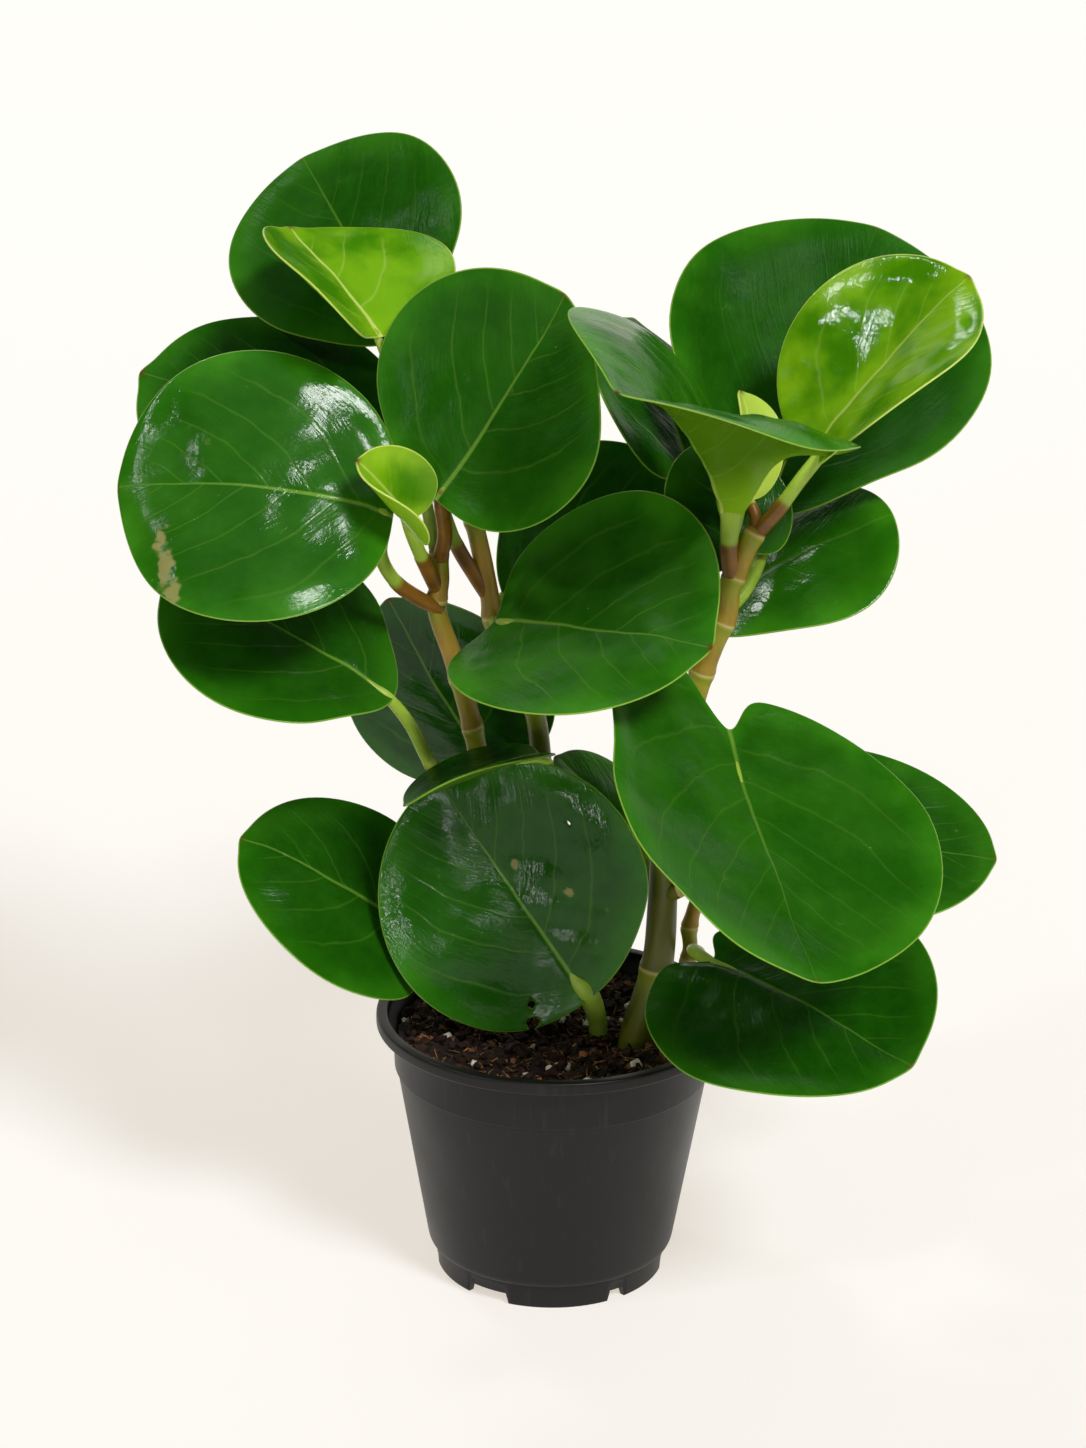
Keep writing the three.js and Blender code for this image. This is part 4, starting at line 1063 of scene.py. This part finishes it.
class PLANT_OT_leaves(bpy.types.Operator):
    """Grows every leaf: its blade and its petiole"""
    bl_idname = "plant.leaves"
    bl_label = "Leaves"

    def execute(self, context):
        settings = context.scene.plant_leaves
        skin, flesh = leaf_material(settings), petiole_material(settings)
        for leaf in LEAVES:
            node = "leaf_" + leaf["name"]
            bm, attributes = blade_mesh(leaf, settings)
            blade = finish_mesh(bm, "blade_" + leaf["name"], skin, attributes)
            if leaf["name"] in HOLES:
                cut(blade, loose_object(hole_mesh(leaf), "bites"))
            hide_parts(node)
            bm, attributes = petiole_mesh(leaf)
            petiole = finish_mesh(bm, "petiole_" + leaf["name"], flesh, attributes)
            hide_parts(node)
        return {"FINISHED"}


# Each soft studio light: bearing and height in degrees, the angle it spans, and its share of the key.
LIGHTS = [("key", -55, 47, 15, 1.0), ("soft", -65, 60, 80, 0.16), ("left", -151, 39, 5, 0.18),
          ("rear", 134, 54, 8, 0.16), ("front", -110, 8, 3, 0.1)]


# The photograph's height in pixels, and the camera that fits it, in pixels, degrees and millimetres.
PHOTO_HEIGHT = 1448
CAMERA_FOCAL_PIXELS = 3701.1
CAMERA_SENSOR = 24.0
CAMERA_ELEVATION = 19.79
CAMERA_ROLL = 0.64
CAMERA_TARGET = (-4.04, 0, 176.3)
CAMERA_DISTANCE = 1100

STUDIO_WHITE = "#fffaf2"

# In metres: half the floor's width, and the backdrop's distance behind the plant and half its height.
# The backdrop is so many times as wide as it is high.
FLOOR_REACH = 8.0
BACKDROP_DISTANCE = 3.5
BACKDROP_REACH = 1.5
BACKDROP_BREADTH = 2.5


class PLANT_OT_stage(bpy.types.Operator):
    """Sets the camera, the pale floor and the soft studio lights"""
    bl_idname = "plant.stage"
    bl_label = "Stage"

    def execute(self, context):
        settings = context.scene.plant_stage
        self.add_camera(context)
        self.add_floor(settings)
        self.add_lights(context, settings)
        context.scene.view_settings.view_transform = "Standard"
        return {"FINISHED"}

    def add_camera(self, context):
        """The photograph's view: 1.1 m away, about 20 degrees above level, with a long lens."""
        data = bpy.data.cameras.new("camera")
        data.sensor_fit = "VERTICAL"
        data.sensor_height = CAMERA_SENSOR
        data.lens = CAMERA_SENSOR * CAMERA_FOCAL_PIXELS / PHOTO_HEIGHT
        data.clip_start = 0.05
        camera = add_object("camera", data)
        elevation, roll = math.radians(CAMERA_ELEVATION), math.radians(CAMERA_ROLL)
        back = Vector((0, -math.cos(elevation), math.sin(elevation)))
        level = Vector((1, 0, 0))
        up = level.cross(-back)
        right = math.cos(roll) * level + math.sin(roll) * up
        top = -math.sin(roll) * level + math.cos(roll) * up
        turn = Matrix((right, top, back)).transposed().to_4x4()
        eye = (Vector(CAMERA_TARGET) + back * CAMERA_DISTANCE) * MM
        camera.matrix_world = Matrix.Translation(eye) @ turn
        context.scene.camera = camera

    def add_floor(self, settings):
        """A pale painted floor. Its own faint warm glow stands in for the light that a white room
        throws back into the shadows."""
        bm = bmesh.new()
        bmesh.ops.create_grid(bm, x_segments=1, y_segments=1, size=FLOOR_REACH)
        floor = loose_object(bm, "studio_floor")
        paint, add = new_material("painted_floor")
        shader = add("BsdfPrincipled", {
            "Base Color": (*settings.floor_colour, 1), "Roughness": 0.9, "Specular IOR Level": 0.1,
            "Emission Color": (*settings.floor_glow, 1), "Emission Strength": 1.0})
        add("OutputMaterial", {"Surface": shader})
        floor.data.materials.append(paint)

        bm = bmesh.new()
        upright = (Matrix.Translation((0, BACKDROP_DISTANCE, BACKDROP_REACH))
                   @ Matrix.Rotation(math.pi / 2, 4, "X") @ Matrix.Diagonal((BACKDROP_BREADTH, 1, 1, 1)))
        bmesh.ops.create_grid(bm, x_segments=1, y_segments=1, size=BACKDROP_REACH, matrix=upright)
        wall = loose_object(bm, "studio_backdrop")
        paper, add = new_material("lit_backdrop_paper")
        glow = add("Emission", {"Color": STUDIO_WHITE, "Strength": 0.9})
        add("OutputMaterial", {"Surface": glow})
        wall.data.materials.append(paper)

    def add_lights(self, context, settings):
        world = bpy.data.worlds.new("studio")
        world.use_nodes = True
        background = world.node_tree.nodes["Background"]
        background.inputs["Color"].default_value = hex_colour(STUDIO_WHITE)
        background.inputs["Strength"].default_value = settings.sky
        context.scene.world = world
        for name, bearing, height, spread, share in LIGHTS:
            data = bpy.data.lights.new(name, "SUN")
            data.energy = settings.key_strength * share
            data.angle = math.radians(spread)
            light = add_object(name, data)
            bearing, height = math.radians(bearing), math.radians(height)
            source = Vector((math.cos(bearing) * math.cos(height), math.sin(bearing) * math.cos(height),
                             math.sin(height)))
            light.rotation_euler = (-source).to_track_quat("-Z", "Y").to_euler()


class PLANT_PT_sidebar(bpy.types.Panel):
    """Lists the plant's operators and settings"""
    bl_idname = "PLANT_PT_sidebar"
    bl_label = "Plant"
    bl_space_type = "VIEW_3D"
    bl_region_type = "UI"
    bl_category = "Plant"

    def draw(self, context):
        layout = self.layout
        for operator in OPERATORS:
            layout.operator(operator.bl_idname)
        for key in GROUPS:
            group = getattr(context.scene, key)
            for name in group.bl_rna.properties.keys():
                if name not in ("rna_type", "name"):
                    layout.prop(group, name)


GROUPS = {"plant_pot": PLANT_PG_pot, "plant_stems": PLANT_PG_stems, "plant_leaves": PLANT_PG_leaves,
          "plant_soil": PLANT_PG_soil, "plant_stage": PLANT_PG_stage}
OPERATORS = (PLANT_OT_pot, PLANT_OT_soil, PLANT_OT_stems, PLANT_OT_leaves, PLANT_OT_stage)


def register():
    for group in GROUPS.values():
        bpy.utils.register_class(group)
    for name, group in GROUPS.items():
        setattr(bpy.types.Scene, name, PointerProperty(type=group))
    for operator in OPERATORS:
        bpy.utils.register_class(operator)
    bpy.utils.register_class(PLANT_PT_sidebar)


def unregister():
    bpy.utils.unregister_class(PLANT_PT_sidebar)
    for operator in reversed(OPERATORS):
        bpy.utils.unregister_class(operator)
    for name, group in GROUPS.items():
        delattr(bpy.types.Scene, name)
        bpy.utils.unregister_class(group)


def main():
    register()
    bpy.ops.plant.pot()
    bpy.ops.plant.soil()
    bpy.ops.plant.stems()
    bpy.ops.plant.leaves()
    bpy.ops.plant.stage()


if __name__ == "__main__":
    main()
